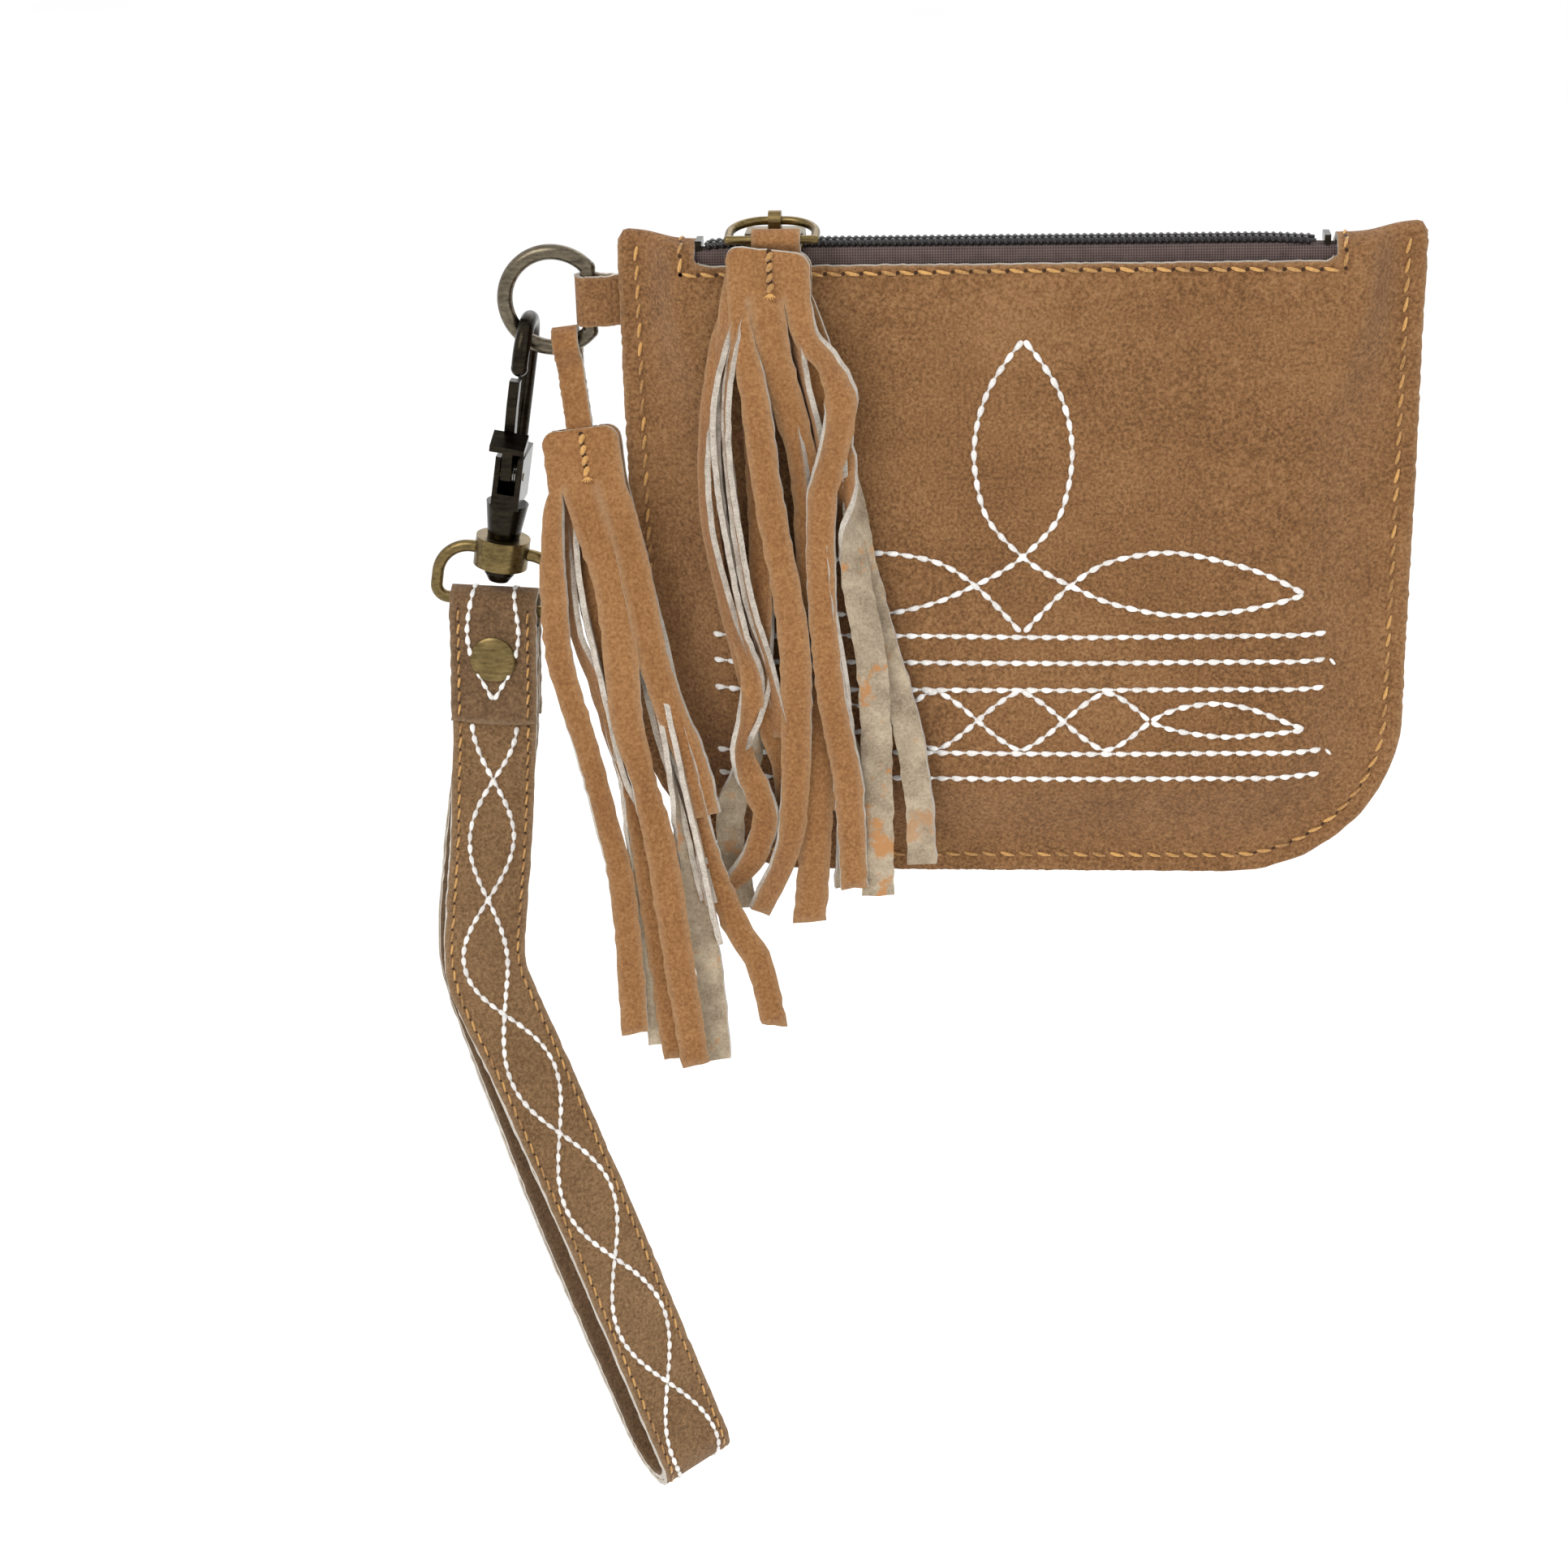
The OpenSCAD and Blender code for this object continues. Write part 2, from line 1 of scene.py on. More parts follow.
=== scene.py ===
"""Looks of a suede wristlet wallet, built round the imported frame.

Shapes are drawn in millimetres in the pouch's own drawing: x right from its left edge, z up from its top
fold, y towards the back. Shape.piece turns them into the frame's metres.
"""
import json
import math
import random

import bmesh
import bpy
import numpy as np
from mathutils import Matrix, Vector


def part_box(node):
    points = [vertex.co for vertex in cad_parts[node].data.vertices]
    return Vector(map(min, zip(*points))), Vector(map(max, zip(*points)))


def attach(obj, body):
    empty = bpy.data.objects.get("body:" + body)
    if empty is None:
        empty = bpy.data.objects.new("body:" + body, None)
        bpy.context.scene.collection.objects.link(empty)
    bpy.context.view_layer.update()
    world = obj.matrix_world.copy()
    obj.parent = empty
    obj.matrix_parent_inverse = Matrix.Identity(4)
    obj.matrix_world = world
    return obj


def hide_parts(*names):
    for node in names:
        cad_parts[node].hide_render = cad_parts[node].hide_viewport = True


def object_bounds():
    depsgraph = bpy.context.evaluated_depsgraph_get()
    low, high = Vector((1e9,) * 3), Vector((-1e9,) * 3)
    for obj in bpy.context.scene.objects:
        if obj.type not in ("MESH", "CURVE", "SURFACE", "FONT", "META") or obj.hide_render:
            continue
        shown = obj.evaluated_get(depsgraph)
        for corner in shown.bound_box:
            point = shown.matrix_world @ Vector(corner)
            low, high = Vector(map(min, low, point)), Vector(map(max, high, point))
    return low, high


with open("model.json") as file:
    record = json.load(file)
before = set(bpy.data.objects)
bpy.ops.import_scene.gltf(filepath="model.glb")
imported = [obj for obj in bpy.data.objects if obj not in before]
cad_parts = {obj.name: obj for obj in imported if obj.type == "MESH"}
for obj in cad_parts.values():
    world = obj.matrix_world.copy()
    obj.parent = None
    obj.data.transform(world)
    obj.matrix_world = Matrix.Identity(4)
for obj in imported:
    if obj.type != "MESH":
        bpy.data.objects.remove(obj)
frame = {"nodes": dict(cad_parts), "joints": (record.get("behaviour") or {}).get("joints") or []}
cad_low, cad_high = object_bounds()
random.seed(11)
MM = 1000.0

# ---------------------------------------------------------------- sizes that the frame gives
panel_low, panel_high = (np.array(corner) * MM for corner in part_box("front_panel"))
_, back_high = (np.array(corner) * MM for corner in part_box("back_panel"))
CORNER = np.array([panel_low[0], 0.0, panel_high[2]])
WIDE = panel_high[0] - panel_low[0]
HIGH = panel_high[2] - panel_low[2]
Y_FRONT = panel_low[1]
Y_BACK = back_high[1]
LEATHER = 1.25
FLANGE_Y = -1.8
ROUND = 34.0
SLOT_X0, SLOT_X1, SLOT_DROP = 15, 134, 5.5
SEAM_INSET = 3.5


def drawn(node):
    """A frame node's lowest and highest corner in the pouch drawing, in millimetres."""
    return [np.array(corner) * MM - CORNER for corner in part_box(node)]


def joint_place(name):
    """Where a joint is, in the pouch drawing."""
    joint = next(j for j in frame["joints"] if j["name"] == name)
    return np.array(joint["pos_m"]) * MM - CORNER


coil_low, coil_high = drawn("zip_coil_front")
coil_back_high = drawn("zip_coil_back")[1]
ZIP_Y = (coil_low[1] + coil_back_high[1]) / 2
BAR = joint_place("front_tassel_swing")
SIDE_PIVOT = joint_place("side_tassel_swing")
HOOK_PIVOT = joint_place("hook_swing")
Y_MID = HOOK_PIVOT[1]


# ---------------------------------------------------------------- small mathematics
def smooth(t):
    """A soft step from 0 to 1 while t goes from 0 to 1."""
    t = np.clip(t, 0.0, 1.0)
    return t * t * (3 - 2 * t)


def unit(v):
    """Vectors of length 1."""
    return v / np.maximum(np.linalg.norm(v, axis=-1, keepdims=True), 1e-9)


def ripple(x, z, size, seed):
    """A smooth random wave from -1 to 1 over x and z, with humps about size wide."""
    rng = np.random.default_rng(seed)
    total = 0.0
    for _ in range(5):
        angle, phase, stretch = rng.uniform(0, 6.28, 2).tolist() + [rng.uniform(0.6, 1.6)]
        wave = (x * math.cos(angle) + z * math.sin(angle)) / size * stretch * 3.1 + phase
        total = total + np.sin(wave)
    return total / 5


def smooth_line(rows, step):
    """Even steps along a smooth curve through rows. The first three numbers of a row are its place."""
    rows = np.array(rows, float)
    ends = np.vstack([2 * rows[0] - rows[1], rows, 2 * rows[-1] - rows[-2]])
    dense = []
    for i in range(1, len(ends) - 2):
        a, b, c, d = ends[i - 1 : i + 3]
        t = np.linspace(0, 1, 24, endpoint=False)[:, None]
        bend, swing = 2 * a - 5 * b + 4 * c - d, 3 * b - a - 3 * c + d
        dense.append(0.5 * (2 * b + (c - a) * t + bend * t**2 + swing * t**3))
    dense = np.vstack(dense + [rows[-1:]])
    gaps = np.linalg.norm(np.diff(dense[:, :3], axis=0), axis=1)
    run = np.concatenate([[0], np.cumsum(gaps)])
    count = max(2, int(round(run[-1] / step)) + 1)
    wanted = np.linspace(0, run[-1], count)
    return np.stack([np.interp(wanted, run, dense[:, k]) for k in range(dense.shape[1])], axis=1)


# ---------------------------------------------------------------- shapes and pieces
class Shape:
    """Points, faces and the material number of each face, gathered for one piece."""

    def __init__(self):
        self.points, self.faces, self.kinds, self.tones, self.edges = [], [], [], [], []

    def add(self, points, faces, kinds=0, tone=0.5, edges=None):
        """Takes in points and faces. tone and edges are values that the finish reads at each point."""
        base = len(self.points)
        self.points += [tuple(p) for p in points]
        self.faces += [tuple(base + i for i in f) for f in faces]
        self.kinds += [kinds] * len(faces) if isinstance(kinds, int) else list(kinds)
        self.tones += [tone] * len(points) if isinstance(tone, float) else list(tone)
        self.edges += [0.0] * len(points) if edges is None else list(edges)

    def piece(self, name, body, materials, slot, replaces=(), sharp=50, turn=None):
        """Makes the Blender object, gives it its finish and lets it ride on a body."""
        points = np.array(self.points)
        if turn is not None:
            points = turn(points)
        mesh = bpy.data.meshes.new(name)
        mesh.from_pydata(((points + CORNER) / MM).tolist(), [], self.faces)
        for material in materials:
            mesh.materials.append(material)
        mesh.polygons.foreach_set("material_index", self.kinds)
        mesh.polygons.foreach_set("use_smooth", [True] * len(self.faces))
        for label, values in (("tone", self.tones), ("edge", self.edges)):
            mesh.attributes.new(label, "FLOAT", "POINT").data.foreach_set("value", values)
        mesh.update()
        mesh.set_sharp_from_angle(angle=math.radians(sharp))
        made = bpy.data.objects.new(name, mesh)
        bpy.context.scene.collection.objects.link(made)
        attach(made, body)
        if replaces:
            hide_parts(*replaces)
        return made


class Sheet:
    """Quads on one surface, which solid() turns into leather or cloth with real thickness."""

    def __init__(self):
        self.points, self.quads, self.tones = np.zeros((0, 3)), np.zeros((0, 4), int), np.zeros(0)

    def grid(self, points, keep=None, flip=False, tone=0.5):
        """Adds rows by columns of points. The face side is -y where rows rise and columns go right."""
        rows, cols = points.shape[:2]
        index = np.arange(rows * cols).reshape(rows, cols) + len(self.points)
        quads = np.stack([index[:-1, :-1], index[:-1, 1:], index[1:, 1:], index[1:, :-1]], axis=-1)
        quads = quads.reshape(-1, 4) if keep is None else quads[keep]
        if flip:
            quads = quads[:, ::-1]
        self.points = np.vstack([self.points, points.reshape(-1, 3)])
        self.quads = np.vstack([self.quads, quads])
        self.tones = np.concatenate([self.tones, np.full(rows * cols, tone)])

    def weld(self):
        """Joins points that lie on each other, and drops the ones that no quad uses."""
        places = np.round(self.points, 4)
        _, first, back = np.unique(places, axis=0, return_index=True, return_inverse=True)
        self.points, self.tones = self.points[first], self.tones[first]
        self.quads = back.reshape(-1)[self.quads]
        used, back = np.unique(self.quads, return_inverse=True)
        self.points, self.tones = self.points[used], self.tones[used]
        self.quads = back.reshape(self.quads.shape)

    def solid(self, shape, outward, inward, kinds=(0, 1, 2), rough=0.0):
        """Adds the sheet to a shape: face side, flesh side and cut edge."""
        self.weld()
        a, b, c, d = (self.points[self.quads[:, k]] for k in range(4))
        face_normals = np.cross(c - a, d - b)
        normals = np.zeros_like(self.points)
        for k in range(4):
            np.add.at(normals, self.quads[:, k], face_normals)
        normals = unit(normals)
        ways = np.concatenate([self.quads[:, [k, (k + 1) % 4]] for k in range(4)])
        keys = np.sort(ways, axis=1)
        _, back, counts = np.unique(keys, axis=0, return_inverse=True, return_counts=True)
        rims = ways[counts[back.reshape(-1)] == 1]
        edge = np.zeros(len(self.points))
        edge[rims.ravel()] = 1.0
        rng = np.random.default_rng(len(self.points))
        shake = rng.normal(0, 1, self.points.shape) * (edge * rough)[:, None]
        top = self.points + shake + normals * outward
        low = self.points + shake - normals * inward
        n = len(self.points)
        rim_faces = [(a + n, b + n, b, a) for a, b in rims]
        faces = [tuple(q) for q in self.quads]
        faces += [tuple(n + i for i in q[::-1]) for q in self.quads] + rim_faces
        counted = zip(kinds, (len(self.quads), len(self.quads), len(rims)))
        all_kinds = [kind for kind, count in counted for _ in range(count)]
        shape.add(np.vstack([top, low]), faces, all_kinds, np.tile(self.tones, 2), np.tile(edge, 2))


def ring_faces(rings, sides):
    """Quads that join rings of points, each ring to the next."""
    faces = []
    for i in range(rings - 1):
        for k in range(sides):
            m = (k + 1) % sides
            faces.append((i * sides + k, i * sides + m, (i + 1) * sides + m, (i + 1) * sides + k))
    return faces


def tube(shape, path, radius, sides):
    """A round wire along a path of points, with closed ends."""
    path = np.array(path, float)
    along = unit(np.gradient(path, axis=0))
    side = unit(np.cross(along, [0.31, 0.12, 0.94]))
    up = np.cross(side, along)
    turns = np.arange(sides) / sides * 2 * math.pi
    ring = np.cos(turns)[None, :, None] * side[:, None] + np.sin(turns)[None, :, None] * up[:, None]
    points = (path[:, None] + ring * radius).reshape(-1, 3)
    faces = ring_faces(len(path), sides)
    last = (len(path) - 1) * sides
    faces.append(tuple(range(sides))[::-1])
    faces.append(tuple(last + k for k in range(sides)))
    shape.add(points, faces)


def stitch(shape, start, end, normal, width, rise, sink, tone):
    """One thread stitch: a plump two-ply oval that dives into the leather at both ends."""
    rings, sides = 7, 8
    along = end - start
    length = np.linalg.norm(along)
    along = along / length
    across = unit(np.cross(along, normal))
    points = []
    for i in range(rings):
        t = i / (rings - 1)
        swell = math.sin(math.pi * (0.06 + 0.88 * t)) ** 0.55
        centre = start + along * length * t + normal * (rise * 0.5 * swell - sink)
        for k in range(sides):
            angle = 2 * math.pi * k / sides
            ply = 1 + 0.13 * math.cos(2 * (angle - 2.4 * t))
            points.append(
                centre
                + across * math.cos(angle) * width / 2 * swell * ply
                + normal * math.sin(angle) * rise * 0.62 * swell * ply
            )
    faces = [tuple(range(sides)), tuple((rings - 1) * sides + k for k in range(sides))[::-1]]
    faces += [(a, d, c, b) for a, b, c, d in ring_faces(rings, sides)]
    shape.add(points, faces, tone=tone)


def hole(shape, centre, normal, radius):
    """A needle hole as painted shade: a dark disc, a shallow dimple that hugs the leather."""
    side = unit(np.cross(normal, [0.2, 0.1, 0.97]))
    up = np.cross(normal, side)
    ring = [
        centre + normal * 0.03 + (side * math.cos(a) + up * math.sin(a)) * radius
        for a in np.arange(8) / 8 * 2 * math.pi
    ]
    low = [p - normal * 0.3 for p in ring]
    faces = [tuple(range(8)), tuple(range(8, 16))[::-1]]
    faces += [(k, 8 + k, 8 + (k + 1) % 8, (k + 1) % 8) for k in range(8)]
    shape.add(ring + low, faces, 1)


def sew(shape, line, normals, pitch, gap, width, rise, slant=0.0, holes=0.0, sink=0.12, link=0.0):
    """A row of stitches along a line of points that lies on a surface with these normals.

    holes is the radius of the needle holes, which are dark discs of painted shade, and link the width of the
    thread between two stitches."""
    line, normals = np.array(line, float), np.array(normals, float)
    run = np.concatenate([[0], np.cumsum(np.linalg.norm(np.diff(line, axis=0), axis=1))])
    count = max(1, int(round(run[-1] / pitch)))
    pitch = run[-1] / count

    def at(s):
        place = np.array([np.interp(s, run, line[:, k]) for k in range(3)])
        facing = np.array([np.interp(s, run, normals[:, k]) for k in range(3)])
        return place, unit(facing)

    for i in range(count):
        wander = random.uniform(-0.05, 0.05)
        (start, normal_a), (end, normal_b) = at(i * pitch + gap / 2), at((i + 1) * pitch - gap / 2)
        normal = unit(normal_a + normal_b)
        across = unit(np.cross(end - start, normal))
        tilt = across * (slant + wander)
        stitch(shape, start - tilt, end + tilt, normal, width * random.uniform(0.92, 1.08), rise, sink,
               tone=random.uniform(0.3, 0.7))
        if holes:
            middle, facing = at(i * pitch)
            hole(shape, middle, facing, holes)
        if link and i:
            (before, facing), (after, _) = at(i * pitch - gap / 2 - 0.3), at(i * pitch + gap / 2 + 0.3)
            # The linking thread gets tone 0.1, the thread's darkest colour: painted shade where it dips
            # between two stitches.
            stitch(shape, before, after, facing, link, link * 0.5, sink, tone=0.1)


# ---------------------------------------------------------------- materials
def linear(r, g, b):
    """A colour of 0 to 255 steps as the linear values that shaders use."""
    steps = [c / 255 for c in (r, g, b)]
    return tuple(((c + 0.055) / 1.055) ** 2.4 if c > 10 / 255 else c / 12.92 for c in steps) + (1.0,)


class Material:
    """A node material with short calls for the nodes that these finishes share."""

    def __init__(self, name, **settings):
        self.data = bpy.data.materials.new(name)
        self.data.use_nodes = True
        self.tree = self.data.node_tree
        self.shader = self.tree.nodes["Principled BSDF"]
        for key, value in settings.items():
            self.shader.inputs[key.replace("_", " ")].default_value = value
        self.place = self.tree.nodes.new("ShaderNodeTexCoord").outputs["Object"]

    def link(self, source, target):
        """Joins an output to an input."""
        self.tree.links.new(source, target)

    def noise(self, size, detail=4.0, rough=0.6, stretch=None):
        """Noise whose spots are about size millimetres wide. stretch makes it finer along an axis."""
        node = self.tree.nodes.new("ShaderNodeTexNoise")
        node.inputs["Scale"].default_value = MM / size
        node.inputs["Detail"].default_value = detail
        node.inputs["Roughness"].default_value = rough
        source = self.place
        if stretch:
            mapping = self.tree.nodes.new("ShaderNodeMapping")
            mapping.inputs["Scale"].default_value = stretch
            self.link(source, mapping.inputs["Vector"])
            source = mapping.outputs["Vector"]
        self.link(source, node.inputs["Vector"])
        return node.outputs["Fac"]

    def wave(self, size, axis):
        """Bands along an axis that repeat every size millimetres."""
        node = self.tree.nodes.new("ShaderNodeTexWave")
        node.bands_direction = axis
        node.inputs["Scale"].default_value = MM / size / 20 * 6.2832
        node.inputs["Distortion"].default_value = 0.0
        self.link(self.place, node.inputs["Vector"])
        return node.outputs["Fac"]

    def attribute(self, name):
        """A value that the mesh carries."""
        node = self.tree.nodes.new("ShaderNodeAttribute")
        node.attribute_name = name
        return node.outputs["Fac"]

    def maths(self, operation, a, b):
        """Two numbers or sockets, put together."""
        node = self.tree.nodes.new("ShaderNodeMath")
        node.operation = operation
        for socket, value in zip(node.inputs, (a, b)):
            if isinstance(value, (int, float)):
                socket.default_value = value
            else:
                self.link(value, socket)
        return node.outputs[0]

    def weigh(self, *pairs):
        """The sum of value times weight."""
        total = None
        for value, weight in pairs:
            part = self.maths("MULTIPLY", value, weight)
            total = part if total is None else self.maths("ADD", total, part)
        return total

    def ramp(self, factor, *stops):
        """A colour by factor. A stop's colour is in 0 to 255 steps, or linear if it has four values."""
        node = self.tree.nodes.new("ShaderNodeValToRGB")
        while len(node.color_ramp.elements) < len(stops):
            node.color_ramp.elements.new(0.5)
        for element, (place, colour) in zip(node.color_ramp.elements, stops):
            element.position = place
            element.color = colour if len(colour) == 4 else linear(*colour)
        self.link(factor, node.inputs["Fac"])
        return node.outputs["Color"]

    def mix(self, factor, a, b, blend="MIX"):
        """Colour a, with colour b over it by factor."""
        node = self.tree.nodes.new("ShaderNodeMix")
        node.data_type = "RGBA"
        node.blend_type = blend
        for socket, value in zip((node.inputs[0], node.inputs[6], node.inputs[7]), (factor, a, b)):
            if isinstance(value, (int, float, tuple)):
                socket.default_value = value
            else:
                self.link(value, socket)
        return node.outputs[2]

    def grey(self, factor, low, high):
        """A factor of 0 to 1 stretched from low to high."""
        node = self.tree.nodes.new("ShaderNodeMapRange")
        node.inputs["To Min"].default_value = low
        node.inputs["To Max"].default_value = high
        self.link(factor, node.inputs["Value"])
        return node.outputs["Result"]

    def finish(self, colour=None, rough=None, height=None, strength=0.5, depth=0.2):
        """Links the colour, roughness and bump. depth is the bump's height in millimetres."""
        if colour is not None:
            self.link(colour, self.shader.inputs["Base Color"])
        if rough is not None:
            self.link(rough, self.shader.inputs["Roughness"])
        if height is not None:
            bump = self.tree.nodes.new("ShaderNodeBump")
            bump.inputs["Strength"].default_value = strength
            bump.inputs["Distance"].default_value = depth / MM
            self.link(height, bump.inputs["Height"])
            self.link(bump.outputs["Normal"], self.shader.inputs["Normal"])
        return self.data


def suede(name, dark, middle, light, worn):
    """Napped leather: fibre grain, brushed clouds, pale worn edges."""
    m = Material(name, Roughness=0.93, Sheen_Weight=0.1, Sheen_Roughness=0.5, Specular_IOR_Level=0.15)
    grain = m.noise(0.65, 5.0, 0.72)
    clump = m.noise(2.2, 4.0, 0.6)
    brushed = m.noise(9.0, 5.0, 0.6)
    cloud = m.noise(40.0, 3.0, 0.5)
    factor = m.weigh((grain, 0.68), (clump, 0.06), (brushed, 0.12), (cloud, 0.14))
    colour = m.ramp(factor, (0.39, dark), (0.5, middle), (0.61, light))
    tone = m.grey(m.attribute("tone"), 0.78, 1.18)
    shade = m.tree.nodes.new("ShaderNodeCombineColor")
    for socket in shade.inputs[:3]:
        m.link(tone, socket)
    colour = m.mix(1.0, colour, shade.outputs[0], "MULTIPLY")
    fray = m.maths("MULTIPLY", m.attribute("edge"), m.grey(m.noise(0.9), 0.1, 0.75))
    colour = m.mix(fray, colour, linear(*worn))
    height = m.weigh((grain, 0.8), (clump, 0.3), (brushed, 0.3))
    return m.finish(colour, None, height, 1.0, 0.6)


def raw_edge(name, dark, light):
    """The cut edge of leather: pale packed fibres with soft grey streaks."""
    m = Material(name, Roughness=0.97, Sheen_Weight=0.3, Specular_IOR_Level=0.1)
    fluff = m.noise(0.35, 5.0, 0.75)
    streak = m.noise(3.0, 3.0, 0.6)
    colour = m.ramp(m.weigh((fluff, 0.65), (streak, 0.35)), (0.36, dark), (0.6, light))
    return m.finish(colour, None, fluff, 0.7, 0.2)


def flesh_side(name, base, pale, blotch):
    """The back of the suede: grey beige, fluffy, with rubbed patches of dye."""
    m = Material(name, Roughness=0.97, Sheen_Weight=0.3, Specular_IOR_Level=0.1)
    fluff = m.noise(0.5, 6.0, 0.75)
    brushed = m.noise(5.0, 4.0, 0.6)
    colour = m.ramp(m.weigh((fluff, 0.5), (brushed, 0.5)), (0.38, base), (0.62, pale))
    patches = m.ramp(m.noise(9.0, 6.0, 0.7), (0.57, (0, 0, 0)), (0.63, (255, 255, 255)))
    strength = m.maths("MULTIPLY", patches, m.grey(m.attribute("tone"), 0.0, 1.0))
    colour = m.mix(strength, colour, linear(*blotch))
    return m.finish(colour, None, m.weigh((fluff, 0.6), (brushed, 0.4)), 0.6, 0.25)


def thread(name, dark, light, shine):
    """Twisted sewing thread with a silky gloss."""
    m = Material(name, Roughness=shine, Sheen_Weight=0.3, Specular_IOR_Level=0.4)
    strand = m.noise(0.3, 3.0, 0.6, stretch=(1.0, 1.0, 0.6))
    colour = m.ramp(m.weigh((strand, 0.55), (m.attribute("tone"), 0.45)), (0.3, dark), (0.62, light))
    return m.finish(colour, None, strand, 0.5, 0.08)


def cloth(name, dark, light, thread_size, depth):
    """A plain weave: two crossed sets of yarns, with slubs."""
    m = Material(name, Roughness=0.85, Sheen_Weight=0.15, Specular_IOR_Level=0.25)
    warp, weft = m.wave(thread_size, "X"), m.wave(thread_size, "Z")
    weave = m.maths("MAXIMUM", warp, m.maths("MULTIPLY", weft, 0.9))
    slub = m.noise(2.0, 4.0, 0.6)
    colour = m.ramp(m.weigh((weave, 0.6), (slub, 0.4)), (0.3, dark), (0.8, light))
    return m.finish(colour, None, m.weigh((weave, 0.8), (slub, 0.2)), 0.6, depth)


def metal(name, dark, bright, rough_low, rough_high, patina=0.5):
    """Plated metal with an antique finish: darkened patches and fine scratches."""
    m = Material(name, Metallic=1.0, Specular_IOR_Level=0.5)
    stain = m.noise(3.2, 6.0, 0.65)
    speck = m.noise(0.5, 3.0, 0.6)
    scratch = m.noise(0.6, 2.0, 0.5, stretch=(0.15, 1.0, 1.0))
    factor = m.weigh((stain, patina), (speck, 0.2), (scratch, 0.8 - patina))
    colour = m.ramp(factor, (0.3, dark), (0.7, bright))
    rough = m.grey(m.weigh((stain, 0.6), (scratch, 0.4)), rough_low, rough_high)
    return m.finish(colour, rough, m.weigh((speck, 0.4), (scratch, 0.6)), 0.25, 0.03)


def nylon(name, dark, light, rough):
    """Smooth hard plastic with faint specks."""
    m = Material(name, Roughness=rough, Specular_IOR_Level=0.5)
    speck = m.noise(0.7, 3.0, 0.6)
    return m.finish(m.ramp(speck, (0.35, dark), (0.65, light)), m.grey(speck, rough - 0.06, rough + 0.1))


POUCH_SUEDE = suede("pouch_suede", (98, 66, 38), (137, 97, 60), (164, 123, 82), (164, 134, 102))
TASSEL_SUEDE = suede("tassel_suede", (128, 86, 50), (153, 107, 64), (174, 128, 83), (172, 144, 112))
STRAP_SUEDE = suede("strap_suede", (98, 72, 46), (132, 100, 67), (156, 124, 88), (156, 134, 108))
FLAP_SUEDE = suede("flap_suede", (88, 64, 42), (118, 90, 62), (142, 112, 80), (150, 128, 104))
# Inner face of the strap: its brown suede darkened, as painted shade inside the loop.
STRAP_INNER_SHADED = suede("strap_inner_shaded", (84, 62, 42), (112, 85, 58), (136, 106, 76), (156, 134, 108))
RAW_EDGE = raw_edge("raw_edge", (140, 128, 114), (206, 197, 184))
FLESH = flesh_side("suede_flesh", (128, 112, 92), (184, 168, 144), (176, 124, 74))
THREAD_TAN = thread("thread_tan", (110, 70, 30), (206, 156, 84), 0.45)
THREAD_WHITE = thread("thread_white", (196, 190, 184), (246, 244, 240), 0.5)
# Needle holes: dark colours that paint the shade inside each hole.
NEEDLE_HOLE_SHADE = raw_edge("needle_hole_shade", (44, 28, 16), (70, 46, 26))
LINING = cloth("lining_cloth", (92, 72, 52), (132, 108, 82), 0.55, 0.1)
TAPE = cloth("zip_tape", (44, 34, 34), (98, 82, 78), 0.5, 0.14)
COIL = nylon("coil_nylon", (14, 11, 12), (34, 28, 28), 0.34)
ANTIQUE_BRASS = metal("antique_brass", (66, 54, 32), (142, 122, 80), 0.22, 0.4, 0.3)
RING_BRASS = metal("ring_brass", (52, 46, 38), (128, 118, 100), 0.18, 0.36, 0.3)
DARK_BRASS = metal("dark_brass", (18, 16, 14), (54, 48, 38), 0.14, 0.3, 0.3)
SPRING_STEEL = metal("spring_steel", (110, 108, 104), (190, 188, 182), 0.2, 0.35)
LEATHER_SET = [POUCH_SUEDE, FLESH, RAW_EDGE]
TASSEL_SET = [TASSEL_SUEDE, FLESH, RAW_EDGE]
TAN_SET = [THREAD_TAN, NEEDLE_HOLE_SHADE]


# ---------------------------------------------------------------- pouch
def inset_of(x, z):
    """Distance from a point of the pouch's face to its sides and bottom edge."""
    side = np.minimum(x, WIDE - x)
    low = HIGH + z
    plain = np.minimum(side, low)
    dx, dz = np.maximum(ROUND - side, 0), np.maximum(ROUND - low, 0)
    return np.where((dx > 0) & (dz > 0), ROUND - np.hypot(dx, dz), plain)


def front_y(x, z):
    """Where the front face lies: a flat sewn margin that swells into a soft raised middle."""
    x, z = np.asarray(x, float), np.asarray(z, float)
    d = inset_of(x, z)
    reach = 12 + 11 * smooth((-z - 12) / 34)
    y = FLANGE_Y + (Y_FRONT - FLANGE_Y) * smooth((d - 4.6) / (reach - 4.6))
    lower = smooth((-z - 10) / 12)
    y = y + lower * smooth((d - 6) / 10) * (0.35 + 0.3 * ripple(x, z, 46, 3) + 0.1 * ripple(x, z, 15, 4))
    return y + 0.22 * np.exp(-(((d - SEAM_INSET) / 0.9) ** 2))


def back_y(x, z):
    """Where the back face lies: nearly flat, with a shallow dip."""
    x, z = np.asarray(x, float), np.asarray(z, float)
    d = inset_of(x, z)
    dip = smooth((d - 6) / 12) * smooth((-z - 10) / 12) * (0.2 + 0.2 * ripple(x, z, 50, 5))
    return Y_BACK - dip - 0.2 * np.exp(-(((d - SEAM_INSET) / 0.9) ** 2))


def droop(x, z):
    """How far the top fold dips towards the slot's ends, and rounds off at the pouch's two corners."""
    side = np.minimum(x, WIDE - x)
    corner = 2.2 - np.sqrt(np.maximum(2.2**2 - np.maximum(2.2 - side, 0) ** 2, 0))
    return -(1.6 * smooth(side / 15) + 0.9 * corner) * smooth((z + 9) / 9)


